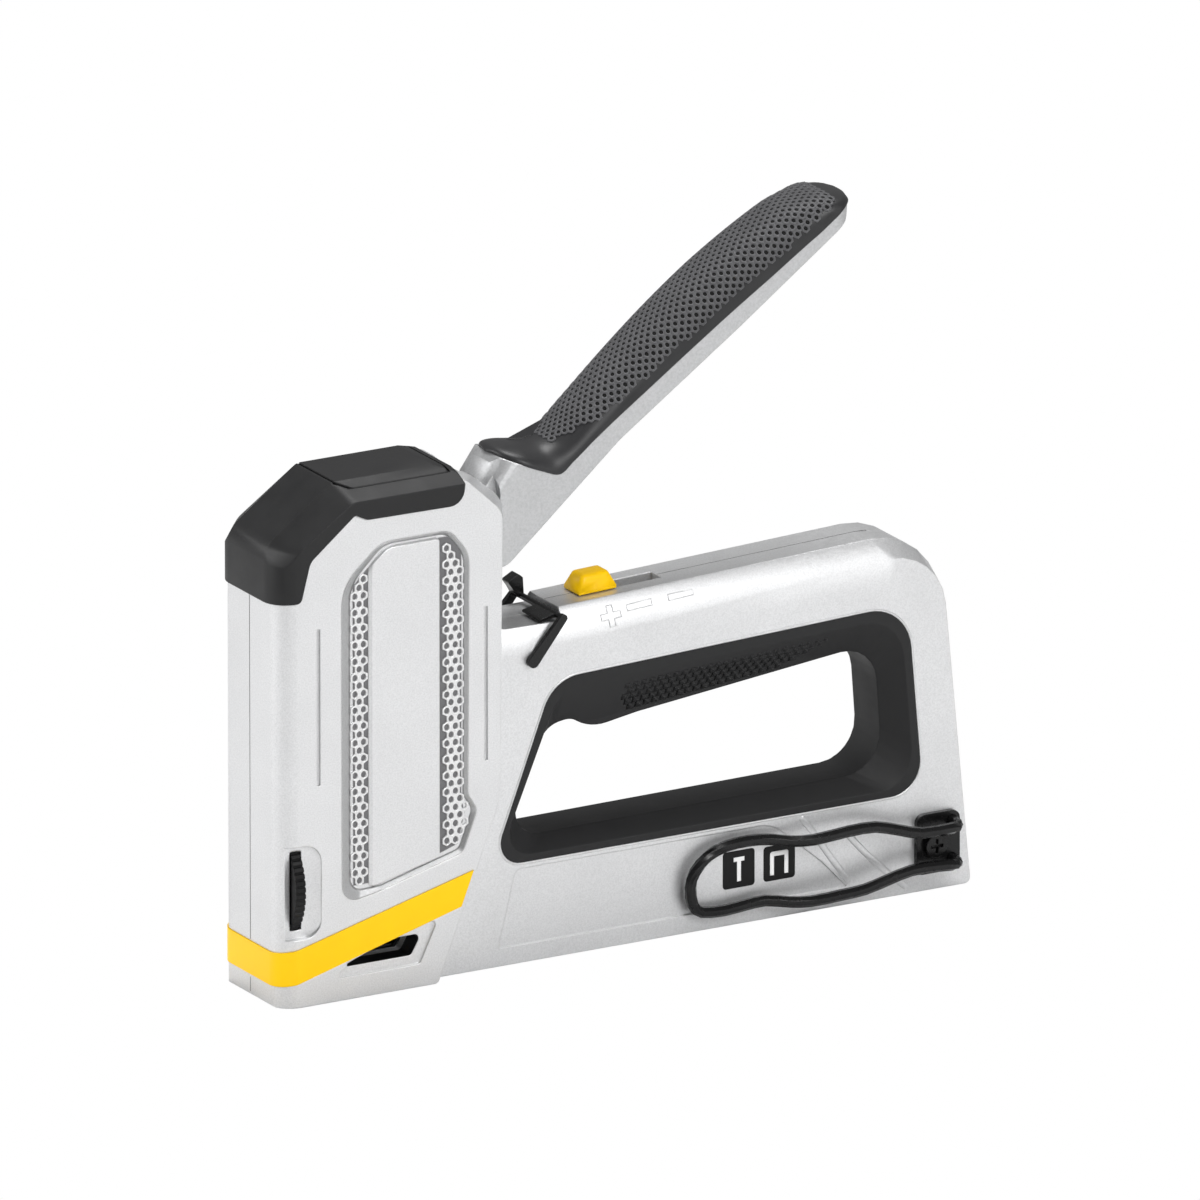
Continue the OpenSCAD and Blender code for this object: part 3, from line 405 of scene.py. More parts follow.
def slab(mesh, points, y0, y1):
    """A flat outline in X and Z, in mm, given thickness from y0 to y1 as a closed solid."""
    corners = [mesh.verts.new((x * MM, y0 * MM, z * MM)) for x, z in points]
    face = mesh.faces.new(corners)
    made = bmesh.ops.extrude_face_region(mesh, geom=[face])
    moved = [v for v in made["geom"] if isinstance(v, bmesh.types.BMVert)]
    bmesh.ops.translate(mesh, verts=moved, vec=(0, (y1 - y0) * MM, 0))


def both_sides(mesh):
    """Adds the mirror image of everything across the centre plane."""
    bmesh.ops.mirror(mesh, geom=mesh.verts[:] + mesh.edges[:] + mesh.faces[:],
                     matrix=Matrix.Identity(4), merge_dist=-1.0, axis="Y")


def rings(mesh, loops, closed=True):
    """Joins loops of points in mm with quads; closed joins the last loop to the first."""
    rows = [[mesh.verts.new(Vector(point) * MM) for point in loop] for loop in loops]
    pairs = list(zip(rows, rows[1:])) + ([(rows[-1], rows[0])] if closed else [])
    for low, high in pairs:
        for k in range(len(low)):
            j = (k + 1) % len(low)
            mesh.faces.new((low[k], low[j], high[j], high[k]))
    return rows


def capped(mesh, loops):
    """Joins loops of points in mm, and closes the first and the last."""
    rows = rings(mesh, loops, closed=False)
    mesh.faces.new(rows[0][::-1])
    mesh.faces.new(rows[-1])


def oval(spot, side, along, wide, deep, count, start=0.0):
    """Points round an oval whose half sizes are wide along side, and deep along along."""
    turns = [start + math.tau * k / count for k in range(count)]
    return [spot + side * wide * math.cos(turn) + along * deep * math.sin(turn)
            for turn in turns]


def tube(mesh, path, wide, high, sides=6, closed=False):
    """A rod along points in mm; in X and Z, its half widths are wide in Y, and high across."""
    loops = []
    count = len(path)
    for i, spot in enumerate(path):
        back = path[(i - 1) % count] if closed or i else spot
        ahead = path[(i + 1) % count] if closed or i < count - 1 else spot
        along = (ahead - back).normalized()
        side = Vector((0, 1, 0)).cross(along)
        side = side.normalized() if side.length > 1e-4 else Vector((1, 0, 0))
        loops.append(oval(spot, side, along.cross(side), high, wide, sides))
    if closed:
        rings(mesh, loops)
    else:
        capped(mesh, loops)


TILE_SIDES = 12             # a six-sided tile has a point at each corner and each side's middle
HOLE_SIDES = 8


def tile(mesh, spot, up, long, pitch, rise, hole, root=0.3):
    """A six-sided ring on a surface: outer walls and an oval hole down to root below spot."""
    side = long.cross(up).normalized()
    along = up.cross(side)
    wide, deep = pitch * hole[0], pitch * hole[1]
    out = pitch / math.sqrt(3)
    made = []
    for half_wide, half_deep, height in (
            (out * 1.02, out * 1.02, -root), (out * 0.98, out * 0.98, rise),
            (wide, deep, rise), (wide * 0.8, deep * 0.8, -root)):
        loop = oval(spot, side, along, half_wide, half_deep, TILE_SIDES, math.pi / 6)
        made.append([mesh.verts.new((point + up * height) * MM) for point in loop])
    for wall in made[:2]:
        for k in range(1, TILE_SIDES, 2):
            wall[k].co = (wall[k - 1].co + wall[(k + 1) % TILE_SIDES].co) / 2
    for low, high in zip(made, made[1:] + made[:1]):
        for k in range(TILE_SIDES):
            j = (k + 1) % TILE_SIDES
            mesh.faces.new((low[k], low[j], high[j], high[k]))


def pit(mesh, spot, up, long, wide, deep):
    """The bottom of a tile's hole: a thin near-black oval, painted shade in the hole."""
    side = long.cross(up).normalized()
    loop = oval(spot, side, up.cross(side), wide, deep, HOLE_SIDES)
    capped(mesh, [[point + up * height for point in loop] for height in (-0.1, 0.06)])


# ---- the castings and the works ----------------------------------------------------------------

WELD = 0.004 * MM
SHARP = math.radians(28)

# Spring, the joint that closes it, its axis, and whether its seat is at the axis's far end.
SPRINGS = [("main_spring", "striker_slide", (0, 0, 1), True),
           ("pusher_spring", "pusher_slide", (1, 0, 0), True),
           ("button_spring", "button_press", (1, 0, 0), False)]


class GUN_OT_castings(bpy.types.Operator):
    """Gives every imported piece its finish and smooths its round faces"""
    bl_idname = "gun.castings"
    bl_label = "Castings and works"

    def execute(self, context):
        for finish, names in NODE_FINISH.items():
            for name in names:
                self.dress(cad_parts[name], FINISHES[finish])
        return {"FINISHED"}

    def dress(self, node, finish):
        node.data.materials.clear()
        node.data.materials.append(finish)
        for polygon in node.data.polygons:
            polygon.use_smooth = True
            polygon.material_index = 0
        weld = node.modifiers.new("weld", "WELD")
        weld.merge_threshold = WELD
        split = node.modifiers.new("edges", "EDGE_SPLIT")
        split.split_angle = SHARP


class GUN_OT_springs(bpy.types.Operator):
    """Gives each compression spring its own copy of its mesh"""
    bl_idname = "gun.springs"
    bl_label = "Springs"

    def execute(self, context):
        for name, joint, axis, far in SPRINGS:
            node, along = bpy.data.objects[name], Vector(axis)
            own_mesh(node)
        return {"FINISHED"}


# ---- the lever's rubber grip -------------------------------------------------------------------

# Matched points in mm: the line where rubber meets metal, and the grip's top over it.
GRIP_RIBS = [
    (65.4, 127.75, 65.0, 128.0), (66.2, 127.4, 65.9, 128.9), (68.2, 126.6, 67.6, 129.2),
    (71.6, 125.25, 70.6, 129.1), (76.2, 123.45, 73.8, 128.8), (80.6, 122.1, 77.4, 128.7),
    (84.2, 124.7, 80.8, 129.5), (87.2, 127.0, 83.4, 131.2), (90.7, 129.8, 86.2, 133.6),
    (94.6, 132.6, 89.4, 136.6), (105, 139.8, 99.9, 146.2), (117, 148.1, 111, 155.4),
    (128.2, 155.7, 122.2, 163.6), (138.8, 162.6, 133.3, 170.7), (148.4, 169.0, 144.4, 176.7),
    (153.2, 172.1, 149.6, 178.5), (157.6, 175.3, 154.8, 179.7), (161.2, 177.6, 160.0, 179.6),
    (163.1, 178.1, 163.0, 179.2),
]
RIB_STEPS = 300             # places along the grip at which its shape is worked out
CURVE_STEPS = 12            # points of the smooth curve between two ribs

GRIP_HALF, GRIP_NOSE, GRIP_TIP = 9.9, 8.6, 6.0      # half width, and the ends' radii in plan
SQUARE_FROM, SQUARE_OVER = 84, 46                   # where the section turns from round to full
GRIP_LIP = ((0.985, 0.25), (0.93, 0.45))            # each step in under: width kept, and drop

FIRST_ROW, LAST_ROOM = 27.0, 6          # plain rubber before the first cells and after the last
CELL_EDGE = 3.3                         # plain rubber beside the cells
TAPER_ROWS, TAPER = 9, 5                # over the first rows, the cells start this much narrower
MOST_CELLS = 9                          # on either side of the middle one
CELL_HOLE = (0.29, 0.24)                # half sizes of the sunken oval, as shares of the pitch
GRIP_LONG = Vector((0.8, 0, 0.6))
ACROSS = 60                             # places across half the grip
ROW_SHARE = 0.866                       # from row to row, as a share of a six-sided cell's pitch


def clamped(value, low=0.0, high=1.0):
    return max(low, min(high, value))


def sampled(points, count):
    """count points of a smooth curve through points, evenly spaced along it, and its length."""
    dense = []
    final = len(points) - 1
    for i in range(final):
        a, b, c, d = (Vector(points[clamped(i + k, 0, final)]) for k in (-1, 0, 1, 2))
        for k in range(CURVE_STEPS):
            t = k / CURVE_STEPS
            dense.append(0.5 * (2 * b + (c - a) * t + (2 * a - 5 * b + 4 * c - d) * t * t
                                + (3 * b - a - 3 * c + d) * t ** 3))
    dense.append(Vector(points[-1]))
    run = distances(dense)
    found = []
    k = 0
    for i in range(count):
        want = run[-1] * i / (count - 1)
        while k < len(run) - 2 and run[k + 1] < want:
            k += 1
        share = (want - run[k]) / (run[k + 1] - run[k])
        found.append(dense[k].lerp(dense[k + 1], clamped(share)))
    return found, run[-1]


def distances(points):
    """How far along its path each point lies."""
    run = [0.0]
    for a, b in zip(points, points[1:]):
        run.append(run[-1] + (b - a).length)
    return run


def corner_loss(reach, radius):
    """How much narrower a round end is, at reach behind it."""
    if reach >= radius:
        return 0.0
    return radius - math.sqrt(max(0.0, radius ** 2 - (radius - max(0.0, reach)) ** 2))


class GripShape:
    """The grip's outside, from its ribs: points across it between the metal and the top."""

    def __init__(self):
        self.ribs, self.length = sampled(GRIP_RIBS, RIB_STEPS + 1)
        self.front, self.end = self.ribs[0][0], self.ribs[-1][0]

    def width(self, x):
        """Half the width at x: a round nose in front and a round tip behind."""
        return (GRIP_HALF - corner_loss(x - self.front, GRIP_NOSE)
                - corner_loss(self.end - x, GRIP_TIP))

    def at(self, along, turn):
        """along is in mm; turn runs from -1, the near edge, to 1, the far edge."""
        spot = clamped(along / self.length) * RIB_STEPS
        k = min(RIB_STEPS - 1, int(spot))
        foot_x, foot_z, top_x, top_z = self.ribs[k].lerp(self.ribs[k + 1], spot - k)
        angle = turn * math.pi / 2
        square = clamped((foot_x - SQUARE_FROM) / SQUARE_OVER)
        high = math.cos(angle) ** (1.0 - 0.28 * square) if abs(turn) < 1 else 0.0
        out = abs(math.sin(angle)) ** (0.9 - 0.22 * square)
        side = math.copysign(out, angle) * self.width(foot_x)
        return Vector((foot_x + (top_x - foot_x) * high, side,
                       foot_z + (top_z - foot_z) * high))

    def normal(self, along, turn):
        ahead = self.at(along + 0.3, turn) - self.at(along - 0.3, turn)
        across = self.at(along, min(1, turn + 0.02)) - self.at(along, max(-1, turn - 0.02))
        return ahead.cross(across).normalized()


class GUN_OT_lever_grip(bpy.types.Operator):
    """Moulds the lever's rubber grip, with its web of small cells"""
    bl_idname = "gun.lever_grip"
    bl_label = "Lever grip"

    def execute(self, context):
        sizes = context.scene.gun_sizes
        shape = GripShape()
        mesh = bmesh.new()
        bmesh.ops.create_grid(mesh, x_segments=150, y_segments=40, size=0.5)
        for v in mesh.verts:
            v.co = shape.at((v.co.x + 0.5) * shape.length, v.co.y * 2) * MM
        self.lip(mesh)
        piece("grip_rubber", mesh, "grip", 40, "lever", ["lever_grip"])
        self.cells(shape, sizes.cell / MM, sizes.cell_rise / MM)
        return {"FINISHED"}

    def lip(self, mesh):
        """Closes the shell below, its edge tucked in over the metal."""
        for inward, drop in GRIP_LIP:
            rim = [e for e in mesh.edges if e.is_boundary]
            made = bmesh.ops.extrude_edge_only(mesh, edges=rim)["geom"]
            for v in made:
                if isinstance(v, bmesh.types.BMVert):
                    v.co.y *= inward
                    v.co += Vector((0.3, 0, -0.6)) * drop * MM
        bmesh.ops.holes_fill(mesh, edges=[e for e in mesh.edges if e.is_boundary], sides=0)

    def cells(self, shape, pitch, rise):
        """Six-sided tiles that join to a raised web, paler as painted highlight, each with a
        sunken oval in it.
        """
        web, pits = bmesh.new(), bmesh.new()
        row_gap = pitch * ROW_SHARE
        turns = [-1 + k / ACROSS for k in range(2 * ACROSS + 1)]
        for row in range(int((shape.length - FIRST_ROW - LAST_ROOM) / row_gap)):
            along = FIRST_ROW + row * row_gap
            run = distances([shape.at(along, turn) for turn in turns])
            middle = run[-1] / 2
            room = middle - CELL_EDGE - max(0.0, 1 - row / TAPER_ROWS) * TAPER
            for column in range(-MOST_CELLS, MOST_CELLS + 1):
                offset = (column + 0.5 * (row % 2)) * pitch
                if abs(offset) > room:
                    continue
                want = middle + offset
                k = min(len(run) - 2, max(j for j, far in enumerate(run) if far <= want))
                turn = turns[k] + (want - run[k]) / (run[k + 1] - run[k]) / ACROSS
                spot, up = shape.at(along, turn), shape.normal(along, turn)
                tile(web, spot, up, GRIP_LONG, pitch, rise, CELL_HOLE)
                pit(pits, spot, up, GRIP_LONG, pitch * CELL_HOLE[0], pitch * CELL_HOLE[1])
        # near-black oval bottoms, painted shade in the cells' holes
        piece("grip_pits", pits, "pit", 25, "lever")
        piece("grip_cells", web, "web_rubber", 25, "lever")


# ---- fine pieces on the castings ---------------------------------------------------------------

HEAD_Y, FRAME_Y = 15.0, 11.0            # half widths of the head and of the grip and base

# Outlines in X and Z, with a corner radius where there is a third number.
PANEL = [(17, 24.1, 4), (28, 26.2, 6), (50.6, 32.2, 3), (54.6, 42.6, 3), (52, 46.8, 3),
         (52.4, 108, 8), (47, 114.6, 5), (28, 114.6, 8), (17, 105, 12)]
PANEL_FLOOR = [(19.8, 27.2, 3), (28, 27.5, 6), (49.7, 33.3, 2.4), (53.3, 42.7, 2.4),
               (50.8, 46.6, 2.4), (51.1, 107.6, 7), (46.5, 113.5, 4.4), (29, 113.5, 7),
               (19.8, 104.4, 10)]
PANEL_PAD = [(24.7, 27.3, 1), (28, 27.8, 3), (44.3, 31.9, 1), (44.3, 113.1, 1),
             (30, 113.1, 5), (24.7, 108.6, 4)]
STRIP_FLOORS = [
    [(20.5, 28.4), (24.9, 28.4), (24.9, 108.6), (20.5, 104.2)],
    [(44, 32.6), (49.4, 34.4), (51.4, 42), (50.5, 46), (50.6, 109.6), (47, 112.9), (44, 112.9)],
]
REFILL = [(15.4, 8.2, 0.6), (36.4, 8.2, 1.2), (39.4, 13.4, 1.2), (30, 13.4, 2)]
LINER = [(60.2, 25.2, 6), (181.5, 25.2, 8.5), (177.1, 74.5, 12), (77.7, 70.9, 11)]

CROWN_FRONT, CROWN_BACK = (58, 86.6), (186.5, 91.6)
CROWN = [(30, 0.6, 0), (194.1, 0.6, 1.5), (*CROWN_BACK, 19), (*CROWN_FRONT, 0), (30, 60, 0)]

PANEL_DEEP = 0.9                        # how deep the head's recesses are
PAD_TOP, PAD_LOW = 0.06, 0.6            # depths of the raised middle's top and of its foot
PAD_MIDDLE = 71
STRIPS = ((20.9, 2, 23.8), (46.3, 3, 54))   # first column, number of columns, furthest X
STRIP_START, STRIP_LENGTH = 27.5, 90
MESH_HOLE = (0.33, 0.37)
TILE_REACH = (0.7, 0.8)                 # half sizes of the room that a tile of the mesh needs


def depths(*pairs):
    """Outlines in X and Z, each laid at its own depth below the near face of the head."""
    return [[(p.x, -HEAD_Y + deep, p.y) for p in loop] for loop, deep in pairs]


def crown_at(x):
    """The point at x on the straight part of the crown."""
    slope = (CROWN_BACK[1] - CROWN_FRONT[1]) / (CROWN_BACK[0] - CROWN_FRONT[0])
    return Vector((x, 0, CROWN_FRONT[1] + (x - CROWN_FRONT[0]) * slope))


class GUN_OT_panel_form(bpy.types.Operator):
    """Fills the head's recesses: sloping border, raised middle and two strips of mesh"""
    bl_idname = "gun.panel_form"
    bl_label = "Head panels"

    def execute(self, context):
        sizes = context.scene.gun_sizes
        self.border()
        self.pad()
        self.strips(sizes.mesh / MM, sizes.mesh_rise / MM)
        return {"FINISHED"}

    def border(self):
        # The sloping walls round the head's recesses, darker aluminium as painted shade.
        mesh = bmesh.new()
        rim, floor = outline(PANEL), outline(PANEL_FLOOR)
        lip = [r.lerp(f, 0.12) for r, f in zip(rim, floor)]
        rings(mesh, depths((rim, -0.02), (lip, -0.05), (floor, 0.78), (rim, PANEL_DEEP)))
        both_sides(mesh)
        metal_piece("panel_border", mesh, "border")
        # grey plates under the mesh strips, painted shade on the recess floor
        mesh = bmesh.new()
        for strip in STRIP_FLOORS:
            slab(mesh, strip, -HEAD_Y + 0.74, -HEAD_Y + 0.86)
        both_sides(mesh)
        metal_piece("panel_floor", mesh, "recess")

    def pad(self):
        mesh = bmesh.new()
        wide = outline(PANEL_PAD)
        top = [Vector((clamped(p.x, 25.6, 44.1), p.y + (0.4 if p.y < PAD_MIDDLE else -0.4)))
               for p in wide]
        capped(mesh, depths((wide, PANEL_DEEP), (wide, PAD_LOW), (top, PAD_TOP)))
        both_sides(mesh)
        metal_piece("panel_pad", mesh)

    def strips(self, pitch, rise):
        mesh = bmesh.new()
        room = outline(PANEL_FLOOR)
        row_gap = pitch * ROW_SHARE
        reach_x, reach_z = TILE_REACH
        for row in range(int(STRIP_LENGTH / row_gap)):
            z = STRIP_START + row * row_gap
            for left, columns, furthest in STRIPS:
                for column in range(columns):
                    x = left + (column + 0.5 * (row % 2)) * pitch
                    if x > furthest:
                        continue
                    corners = [(x + reach_x * dx, z + reach_z * dz)
                               for dx in (-1, 1) for dz in (-1, 1)]
                    if all(inside(*corner, room) for corner in corners):
                        tile(mesh, Vector((x, -HEAD_Y + 0.8, z)), Vector((0, -1, 0)),
                             Vector((0, 0, 1)), pitch, rise, MESH_HOLE, 0.1)
        both_sides(mesh)
        # paler than the casting, as painted highlight on the raised web
        metal_piece("panel_mesh", mesh, "web")


class GUN_OT_seams(bpy.types.Operator):
    """Adds the seam's line, painted-shade sleeves in the refill windows, the opening's bead and
    soft ribs
    """
    bl_idname = "gun.seams"
    bl_label = "Seams and beads"

    def execute(self, context):
        self.seam_line(context.scene.gun_sizes.seam / MM)
        self.window_sleeve()
        self.opening_bead()
        self.base_ribs()
        return {"FINISHED"}

    def seam_line(self, width):
        """The line over the crown, down the heel and down the front, where nothing covers it."""
        mesh = bmesh.new()
        crown = [Vector((p.x, 0, p.y)) for p in outline(CROWN, 10)]
        back = [p for p in crown if p.x > 186 or p.z > 90.5]
        for line in ([crown_at(81.6), crown_at(91)],
                     [crown_at(112.9), crown_at(150)] + [p for p in reversed(back) if p.z > 13.5],
                     [Vector((0, 0, 14.2)), Vector((0, 0, 60)), Vector((0, 0, 102.4))],
                     [Vector((0, 0, 0.9)), Vector((0, 0, 4.6))]):
            tube(mesh, line, width / 2, 0.05)
        piece("seam_line", mesh, "seam", 40)

    def window_sleeve(self):
        """A black sleeve in each refill window, as painted shade on the window's walls."""
        mesh = bmesh.new()
        middle, rim = Vector((31, 10.7)), outline(REFILL)
        loops = []
        for share, y in ((0.995, -14.3), (0.96, -14.3), (0.96, -9.4), (0.995, -9.4)):
            scaled = [middle + (p - middle) * share for p in rim]
            loops.append([(p.x, y, p.y) for p in scaled])
        rings(mesh, loops)
        both_sides(mesh)
        # black as painted shade inside the openings
        piece("window_sleeve", mesh, "black", 30)

    def opening_bead(self):
        mesh = bmesh.new()
        for side in (-1, 1):
            ring = [Vector((p.x, side * FRAME_Y, p.y)) for p in outline(LINER, 10)]
            tube(mesh, ring, 0.16, 0.30, 8, closed=True)
        metal_piece("opening_bead", mesh, smooth=60)

    def base_ribs(self):
        """Two soft ribs behind the belt hook."""
        mesh = bmesh.new()
        for path in ([(147, 24.4), (150, 20.6), (155.5, 12.6), (160.6, 5.6)],
                     [(159.5, 18.6), (164.7, 12.7), (171, 6.5), (176.6, 1.8)]):
            tube(mesh, [Vector((x, -FRAME_Y + 0.02, z)) for x, z in path], 0.28, 0.9, 8)
        metal_piece("base_ribs", mesh, smooth=60)


NAIL = [(1.9, 7.6), (4.9, 7.6), (4.9, 6.5), (3.95, 6.5), (3.95, 1.4), (2.85, 1.4),
        (2.85, 6.5), (1.9, 6.5)]
STAPLE = [(1.2, 1.6), (1.2, 7.2), (1.6, 7.6), (5.9, 7.6), (6.3, 7.2), (6.3, 1.6),
          (5.2, 1.6), (5.2, 6.4), (2.3, 6.4), (2.3, 1.6)]
ARM = 0.8                               # half width of the plus and minus signs' strokes
PLUS = [(-2.7, -ARM), (-ARM, -ARM), (-ARM, -2.7), (ARM, -2.7), (ARM, -ARM), (2.7, -ARM),
        (2.7, ARM), (ARM, ARM), (ARM, 2.7), (-ARM, 2.7), (-ARM, ARM), (-2.7, ARM)]
MINUS = [(-3.4, -ARM), (3.4, -ARM), (3.4, ARM), (-3.4, ARM)]
SHOULDER_SQUEEZE = 0.42                 # the shoulder turns away, so the signs are narrow in Y
SIGN_FOOT = 0.6                         # how deep the signs on the base are rooted
SIGN_CORNER = 0.9


class GUN_OT_signs(bpy.types.Operator):
    """Adds the raised power signs on the grip and the nail and staple signs on the base"""
    bl_idname = "gun.signs"
    bl_label = "Signs"

    def execute(self, context):
        self.power()
        self.square("sign_nail", 125.4, 134.3, 9.1, 18.6)
        self.square("sign_staple", 136.8, 145.6, 9.3, 18.2)
        mesh = bmesh.new()
        for points, x, z in ((NAIL, 126.5, 9.3), (STAPLE, 137.4, 9.1)):
            slab(mesh, [(x + a, z + b) for a, b in points], -FRAME_Y + 0.40,
                 -FRAME_Y + SIGN_FOOT)
        metal_piece("sign_marks", mesh, "mark", 20)
        return {"FINISHED"}

    def square(self, name, x0, x1, z0, z1):
        mesh = bmesh.new()
        corners = [(x, z, SIGN_CORNER) for x, z in ((x0, z0), (x1, z0), (x1, z1), (x0, z1))]
        slab(mesh, outline(corners, 5), -FRAME_Y + 0.44, -FRAME_Y + SIGN_FOOT)
        piece(name, mesh, "black", 20)

    def power(self):
        """Signs for more and less power, each a fine raised outline on the grip's shoulder."""
        mesh = bmesh.new()
        for points, x, y in ((PLUS, 94.7, -9.6), (MINUS, 102.8, -9.2), (MINUS, 114.3, -9.2)):
            path = [self.shoulder(x + a, y - b * SHOULDER_SQUEEZE) for a, b in points]
            dense = []
            for a, b in zip(path, path[1:] + path[:1]):
                dense += [a, a.lerp(b, 0.5)]
            tube(mesh, dense, 0.2, 0.14, closed=True)
        metal_piece("power_signs", mesh, smooth=60)

    def shoulder(self, x, y):
        """The point of the grip's shoulder under x, y."""
        housing = bpy.data.objects["near_housing"]
        found, spot, _, _ = housing.ray_cast(Vector((x, y, 150)) * MM, Vector((0, 0, -1)))
        if not found:
            raise RuntimeError("no shoulder under the power signs")
        return spot / MM


FACET_ROWS, FACET_COLUMNS = 5, 26
FACET_FIRST = 99.5
FACET_UP = Vector((0, -0.92, -0.38)).normalized()
FACET_HALF = 0.42                       # as a share of the pitch
FACET_RISE, FACET_ROOT = 0.5, 0.4


class GUN_OT_liner_relief(bpy.types.Operator):
    """Raises small pyramids on the near lower side of the liner's upper bar"""
    bl_idname = "gun.liner_relief"
    bl_label = "Liner relief"

    def execute(self, context):
        pitch = context.scene.gun_sizes.facet / MM
        mesh = bmesh.new()
        for row in range(FACET_ROWS):
            for column in range(FACET_COLUMNS):
                x = FACET_FIRST + (column + 0.5 * (row % 2)) * pitch
                if 97 + row <= x <= 157 - row * 3:
                    self.pyramid(mesh, self.spot(x, row), pitch * FACET_HALF)
        piece("liner_facets", mesh, "rubber", 10)
        return {"FINISHED"}

    def spot(self, x, row):
        """A point on the bar's sloping side, between its lower line and its upper one."""
        share = 0.34 + row * 0.135
        upper = 69.0 + (x - 100) * 0.035
        lower = 57.2 + (x - 100) * 0.098
        return Vector((x, -FRAME_Y + 4.6 * share, upper + (lower - upper) * share))

    def pyramid(self, mesh, spot, half):
        side = Vector((1, 0, 0))
        across = FACET_UP.cross(side).normalized()
        base = [mesh.verts.new((spot + side * half * a + across * half * b
                                - FACET_UP * FACET_ROOT) * MM)
                for a, b in ((-1, -1), (1, -1), (1, 1), (-1, 1))]
        tip = mesh.verts.new((spot + FACET_UP * FACET_RISE + across * half * 0.5) * MM)
        mesh.faces.new(base[::-1])
        for k in range(4):
            mesh.faces.new((base[k], base[(k + 1) % 4], tip))


# ---- the stage ---------------------------------------------------------------------------------

# Name, place, width and power of each lamp; all of them face the middle of the object.
LAMPS = [("front", (-0.95, 0.22, 0.45), 0.35, 4.8),
         ("key", (0.20, -0.95, 0.65), 0.40, 7.4),
         ("side", (0.75, -0.75, 0.30), 0.5, 1.0),
         ("top", (0.25, 0.16, 1.1), 0.45, 8.4),
         ("back", (-0.7, 0.5, 0.5), 0.4, 2.4)]
LAMP_TARGET = Vector((0.1, 0, 0.08))
ROOM_LIGHT = 0.28                       # the world's strength, as the object sees it

LENS, SENSOR = 1200, 36
VIEW_TARGET = Vector((0.0971, 0.0, 0.0847))
VIEW_AWAY = Vector((-0.4702, -0.8277, 0.3066)).normalized()
VIEW_DISTANCE = 9.684

FLOOR_HALF, FLOOR_DROP = 6.0, -0.0002
FLOOR_GREY = (0.8, 0.8, 0.8, 1)


def facing(away):
    """The turn of a lamp or a camera that looks along the opposite of away."""
    return away.to_track_quat("Z", "Y").to_euler()


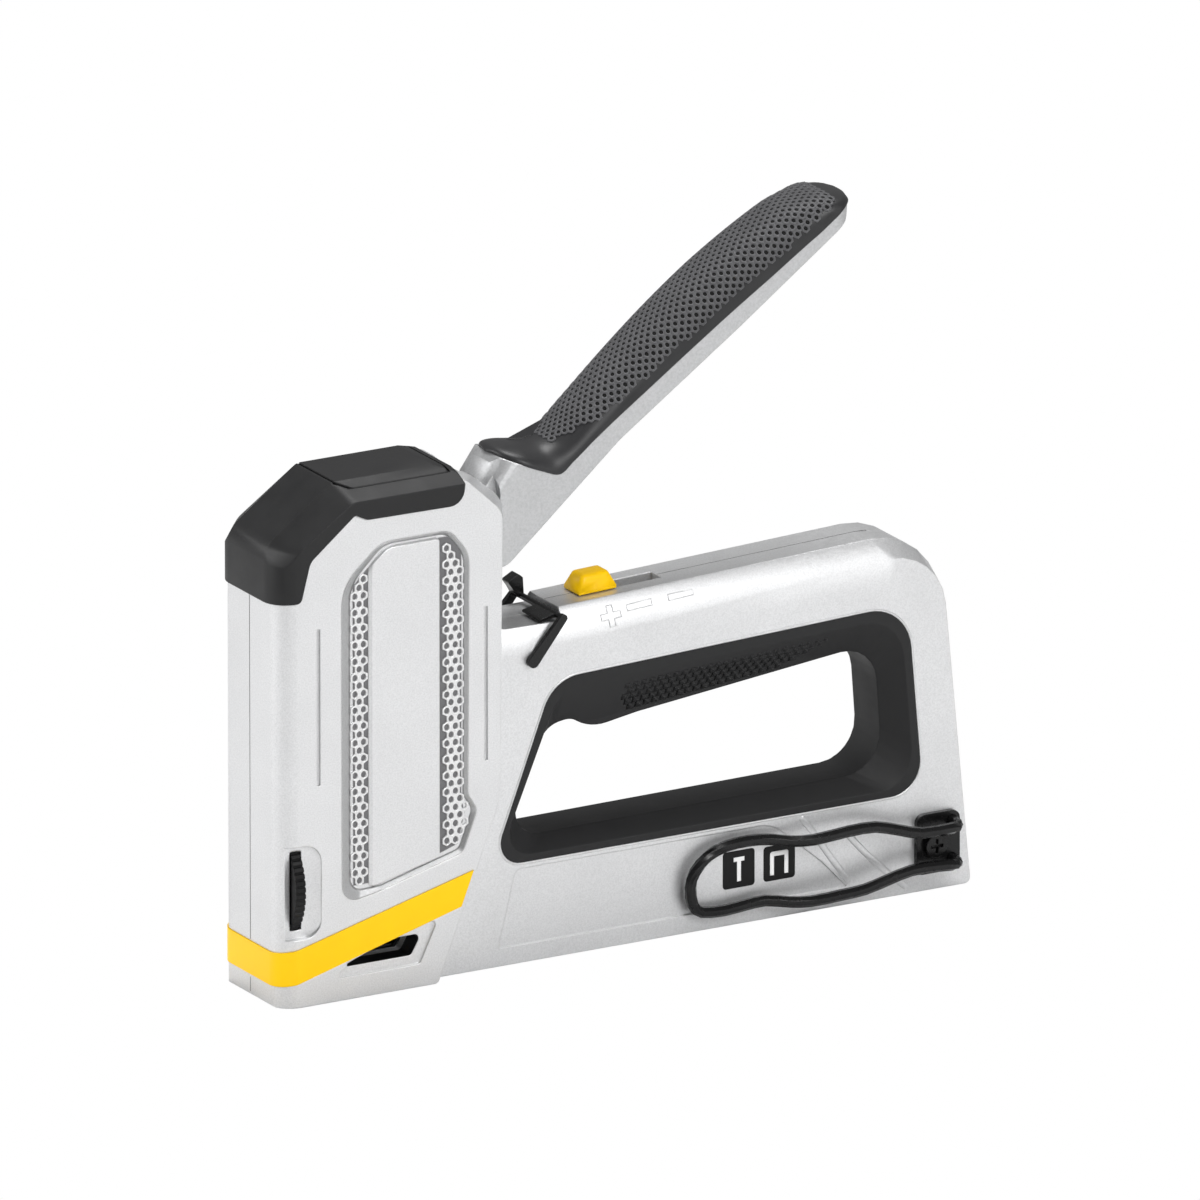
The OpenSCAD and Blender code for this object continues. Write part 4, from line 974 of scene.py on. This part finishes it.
class GUN_OT_stage(bpy.types.Operator):
    """Lays the pale floor, hangs soft lamps and sets the camera"""
    bl_idname = "gun.stage"
    bl_label = "Stage"

    def execute(self, context):
        scene = context.scene
        scene.view_settings.view_transform = "Standard"
        self.camera(scene)
        self.world(scene)
        for lamp in LAMPS:
            self.lamp(scene, *lamp)
        self.floor(scene)
        return {"FINISHED"}

    def camera(self, scene):
        data = bpy.data.cameras.new("view")
        data.lens, data.sensor_width = LENS, SENSOR
        eye = bpy.data.objects.new("view", data)
        scene.collection.objects.link(eye)
        eye.location = VIEW_TARGET + VIEW_AWAY * VIEW_DISTANCE
        eye.rotation_euler = facing(VIEW_AWAY)
        scene.camera = eye

    def world(self, scene):
        """White where it is seen, and dimmer as a light."""
        world = bpy.data.worlds.new("room")
        world.use_nodes = True
        scene.world = world
        nodes = Nodes(world.node_tree)
        camera = nodes.node("ShaderNodeLightPath", output="Is Camera Ray")
        through = nodes.node("ShaderNodeLightPath", output="Is Transmission Ray")
        seen = camera.maths("MAXIMUM", camera, through)
        level = nodes.node("ShaderNodeMapRange", None, {"Value": seen, "To Min": ROOM_LIGHT})
        nodes.fill(nodes.tree.nodes["Background"], {"Strength": level, "Color": WHITE})

    def lamp(self, scene, name, place, size, power):
        data = bpy.data.lights.new(name, "AREA")
        data.size, data.energy = size, power
        lamp = bpy.data.objects.new(name, data)
        scene.collection.objects.link(lamp)
        lamp.location = place
        lamp.rotation_euler = facing(Vector(place) - LAMP_TARGET)

    def floor(self, scene):
        """A floor that is plain white where it is seen, and pale grey as the object sees it."""
        mesh = bmesh.new()
        bmesh.ops.create_grid(mesh, x_segments=1, y_segments=1, size=FLOOR_HALF)
        data = bpy.data.meshes.new("floor")
        mesh.to_mesh(data)
        mesh.free()
        floor = bpy.data.objects.new("floor", data)
        scene.collection.objects.link(floor)
        data.transform(Matrix.Translation((0, 0, FLOOR_DROP)))
        f = Finish("floor_white")
        glow = f.node("ShaderNodeEmission", None, {"Color": WHITE})
        camera = f.node("ShaderNodeLightPath", output="Is Camera Ray")
        mix = f.node("ShaderNodeMixShader", None,
                     {0: camera, 1: Number(f, f.shader.outputs[0]), 2: glow})
        f.fill(f.tree.nodes["Material Output"], {"Surface": mix})
        data.materials.append(f.surface(Base_Color=FLOOR_GREY, Roughness=0.9))


# ---- the add-on --------------------------------------------------------------------------------

class GUN_PT_panel(bpy.types.Panel):
    """Sizes, colours and steps of the staple gun"""
    bl_idname = "GUN_PT_panel"
    bl_label = "Staple gun"
    bl_space_type = "VIEW_3D"
    bl_region_type = "UI"
    bl_category = "Staple gun"

    def draw(self, context):
        for group in (context.scene.gun_sizes, context.scene.gun_colours):
            box = self.layout.box()
            for name in group.__annotations__:
                box.prop(group, name)
        for step in STEPS:
            self.layout.operator(step.bl_idname)


STEPS = [GUN_OT_castings, GUN_OT_lever_grip, GUN_OT_panel_form, GUN_OT_seams, GUN_OT_signs,
         GUN_OT_liner_relief, GUN_OT_springs, GUN_OT_stage]
CLASSES = [GunColours, GunSizes, *STEPS, GUN_PT_panel]


def register():
    for each in CLASSES:
        bpy.utils.register_class(each)
    bpy.types.Scene.gun_sizes = PointerProperty(type=GunSizes)
    bpy.types.Scene.gun_colours = PointerProperty(type=GunColours)


def unregister():
    del bpy.types.Scene.gun_sizes
    del bpy.types.Scene.gun_colours
    for each in reversed(CLASSES):
        bpy.utils.unregister_class(each)


def main():
    register()
    make_finishes(bpy.context.scene.gun_colours)
    for step in STEPS:
        group, name = step.bl_idname.split(".")
        getattr(getattr(bpy.ops, group), name)()


if __name__ == "__main__":
    main()
